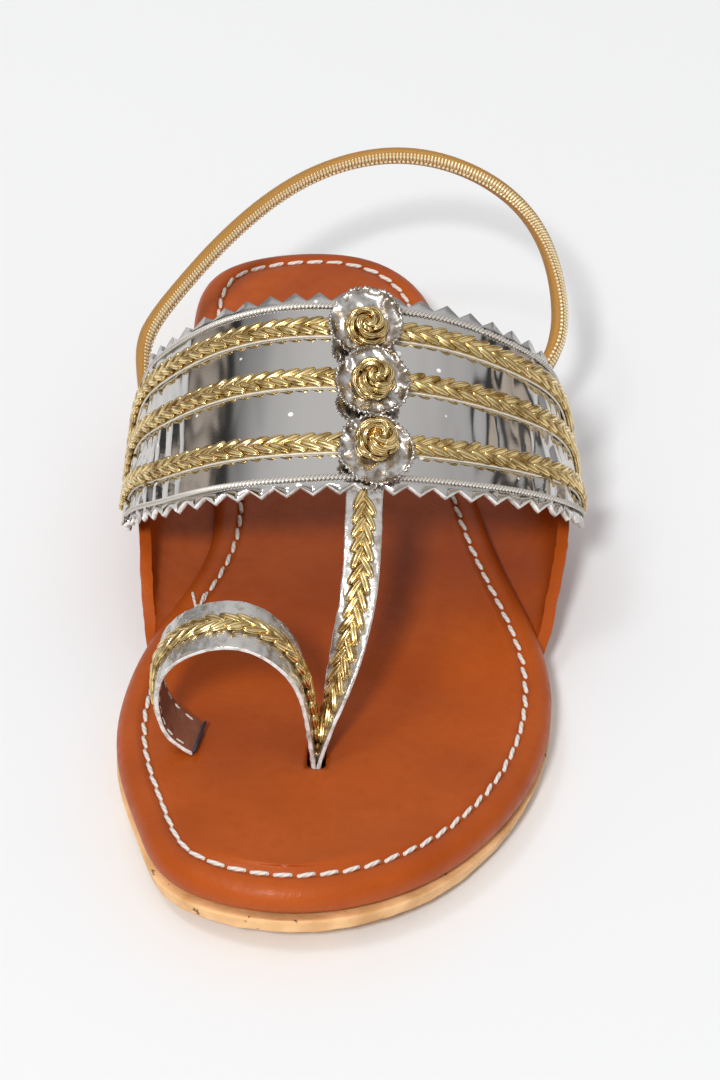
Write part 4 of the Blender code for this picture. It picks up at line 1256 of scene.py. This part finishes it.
# Plain weave on UVs
RIBBON_WEAVE, given, made = effect("ribbon_weave", {"Warp": 2200.0, "Weft": 1500.0}, ("Height",))
spot = parts_of(RIBBON_WEAVE, "UV")
waves = []
for axis, socket in (("X", "Warp"), ("Y", "Weft")):
    far = calc(RIBBON_WEAVE, "MULTIPLY", spot[axis], given[socket])
    waves.append(calc(RIBBON_WEAVE, "SINE", calc(RIBBON_WEAVE, "MULTIPLY", far, tau)))
RIBBON_WEAVE.links.new(ramp(RIBBON_WEAVE, calc(RIBBON_WEAVE, "MULTIPLY", *waves), -1.0, 1.0),
                       made["Height"])
# The low parts of the weave are painted the darker brown, a painted shade.
gold_elastic = two_tone("gold_elastic", (0.45, 0.25), RIBBON_WEAVE, {"Warp": 300.0, "Weft": 22.0},
                        (0.34, 0.145, 0.024), (0.62, 0.33, 0.072), 0.0002, 0.7)
# The ribs are painted darker between their filaments, a painted shade.
cream_rib = two_tone("cream_rib", (0.30, 0.35), FILAMENT_TWIST, {"Along": 0.0, "Round": 5.0},
                     (0.74, 0.54, 0.24), (1.0, 0.93, 0.68), 0.0001, 0.5)

places = stops(len(HEEL_STRAP), ELASTIC_STEPS)
line = through(HEEL_STRAP, ELASTIC_HEIGHT, places)
leans = np.interp(places, range(len(HEEL_STRAP)), [row.lean for row in HEEL_STRAP])
# The elastic's point, width and outer directions and thickness all along it
frames = []
for i, (point, lean) in enumerate(zip(line, leans)):
    run = direction(line, i)
    width = turned_width(line, i, UP - UP.cross(run).normalized() * lean)
    from_end = min((point - line[0]).length, (point - line[-1]).length)
    thick = ELASTIC_END + (ELASTIC_THICKNESS - ELASTIC_END) \
        * ease(from_end, 0.0, ELASTIC_END_REACH)
    frames.append((point, width, run.cross(width).normalized(), thick))


def on_elastic(frame, angle, lift=0.0):
    """A point on the elastic's skin at an angle round it, and the direction out of the skin."""
    point, width, out, thick = frame
    reach, rise = ELASTIC_WIDTH / 2 + lift, thick / 2 + lift
    away = (width * cos(angle) / reach + out * sin(angle) / rise).normalized()
    return point + width * cos(angle) * reach + out * sin(angle) * rise, away


work = bmesh.new()
tube(work, [[on_elastic(frame, tau * k / ELASTIC_SIDES)[0] for k in range(ELASTIC_SIDES)]
            for frame in frames])
fitted("elastic_heel_strap", meshed("elastic", work), [gold_elastic], ["heel_strap"])

for name, step, pitch, size in (("ribs", 0.0, RIB_PITCH, RIB_SIZE),
                                ("beads", BEAD_STEP, BEAD_PITCH, BEAD_SIZE)):
    turns = [STRIPE_AT + STRIPE_WANDER * soft_step(i / (len(frames) - 1), 0.48, 0.85) + step
             for i in range(len(frames))]
    points, outs = zip(*(on_elastic(frame, turn, STRIPE_LIFT)
                         for frame, turn in zip(frames, turns)))
    mesh = laid(points, outs, SEAM, STRAND, cream_rib, pitch, size)
    fitted(f"elastic_{name}", mesh, [cream_rib])


# Studio: a pale floor under soft light from the upper left, seen from in front of the toe and
# above.
CAMERA_AT = Vector((0.0062, -0.9348, 0.6334))
PHOTO_DIRECTION = Vector((-0.0542, 0.8072, -0.5878))
AIM_AT = Vector((0.0119, -0.0976, 0.0200))
LENS_MM = 152.0
FLOOR_HALF = 6.0
SKY_STRENGTH = 0.935

for item in (THREAD_ROD, STRAND):
    bpy.data.objects.remove(item, do_unlink=True)

floor_paint, _, shader = paint("floor_paint", 0.8)
shader["Base Color"].default_value = (0.840, 0.850, 0.856, 1.0)
work = bmesh.new()
bmesh.ops.create_grid(work, x_segments=1, y_segments=1, size=FLOOR_HALF)
floor = placed("floor", meshed("floor", work, closed=False))
floor.data.materials.append(floor_paint)

world = bpy.data.worlds.new("studio")
bpy.context.scene.world = world
world.use_nodes = True
sky = world.node_tree
ray = parts_of(sky, "Generated")
dome = tint(sky, ramp(sky, ray["Z"], -0.05, 0.85), (0.40, 0.40, 0.41), (0.80, 0.80, 0.81))
# Panels round the shoe from its medial to its lateral side: where, how bright and how warm
panels = put(sky, "ShaderNodeValToRGB", {"Fac": ramp(sky, ray["X"], -1.0, 1.0)})
for spot, tone, warmth in (
        (0.02, 0.40, 0.8), (0.045, 0.50, 0.7), (0.06, 0.70, -0.1), (0.085, 1.15, 0.25),
        (0.118, 1.15, 0.25), (0.126, 0.05, 0.0), (0.143, 0.08, 0.0), (0.155, 0.45, 0.0),
        (0.25, 0.84, 0.0), (0.36, 0.97, 0.0), (0.50, 0.98, 0.0), (0.66, 0.93, 0.0),
        (0.870, 0.82, 0.0), (0.880, 0.05, 0.0), (0.895, 0.08, 0.0), (0.902, 1.10, 0.25),
        (0.93, 1.15, 0.25), (0.955, 0.45, 0.4), (0.98, 1.00, 0.4)):
    stop = panels.color_ramp.elements.new(spot)
    stop.color = (tone, tone * (1 - warmth / 2), tone * (1 - warmth), 1.0)
lit = put(sky, "ShaderNodeMix", {0: 1.0, 6: dome, 7: panels.outputs["Color"]},
          data_type="RGBA", blend_type="MULTIPLY")
sky.links.new(lit.outputs[2], sky.nodes["Background"].inputs["Color"])
sky.nodes["Background"].inputs["Strength"].default_value = SKY_STRENGTH

for name, spot, size, power in (("key", (-1.65, -6.75, 6.15), 1.26, 534.0),
                                ("lamp", (-0.50, -0.40, 1.3), 0.30, 2.4)):
    light = bpy.data.lights.new(name, "AREA")
    light.shape = "DISK"
    light.size = size
    light.energy = power
    lamp = placed(name, light)
    lamp.location = spot
    lamp.rotation_euler = (AIM_AT - Vector(spot)).to_track_quat("-Z", "Y").to_euler()

bpy.context.scene.view_settings.view_transform = "Standard"

lens = bpy.data.cameras.new("photo_view")
lens.lens = LENS_MM
camera = placed("photo_view", lens)
camera.location = CAMERA_AT
camera.rotation_mode = "QUATERNION"
to_shoe = (AIM_AT - CAMERA_AT).normalized()
camera.rotation_quaternion = PHOTO_DIRECTION.rotation_difference(to_shoe) \
    @ PHOTO_DIRECTION.to_track_quat("-Z", "Y")
bpy.context.scene.camera = camera
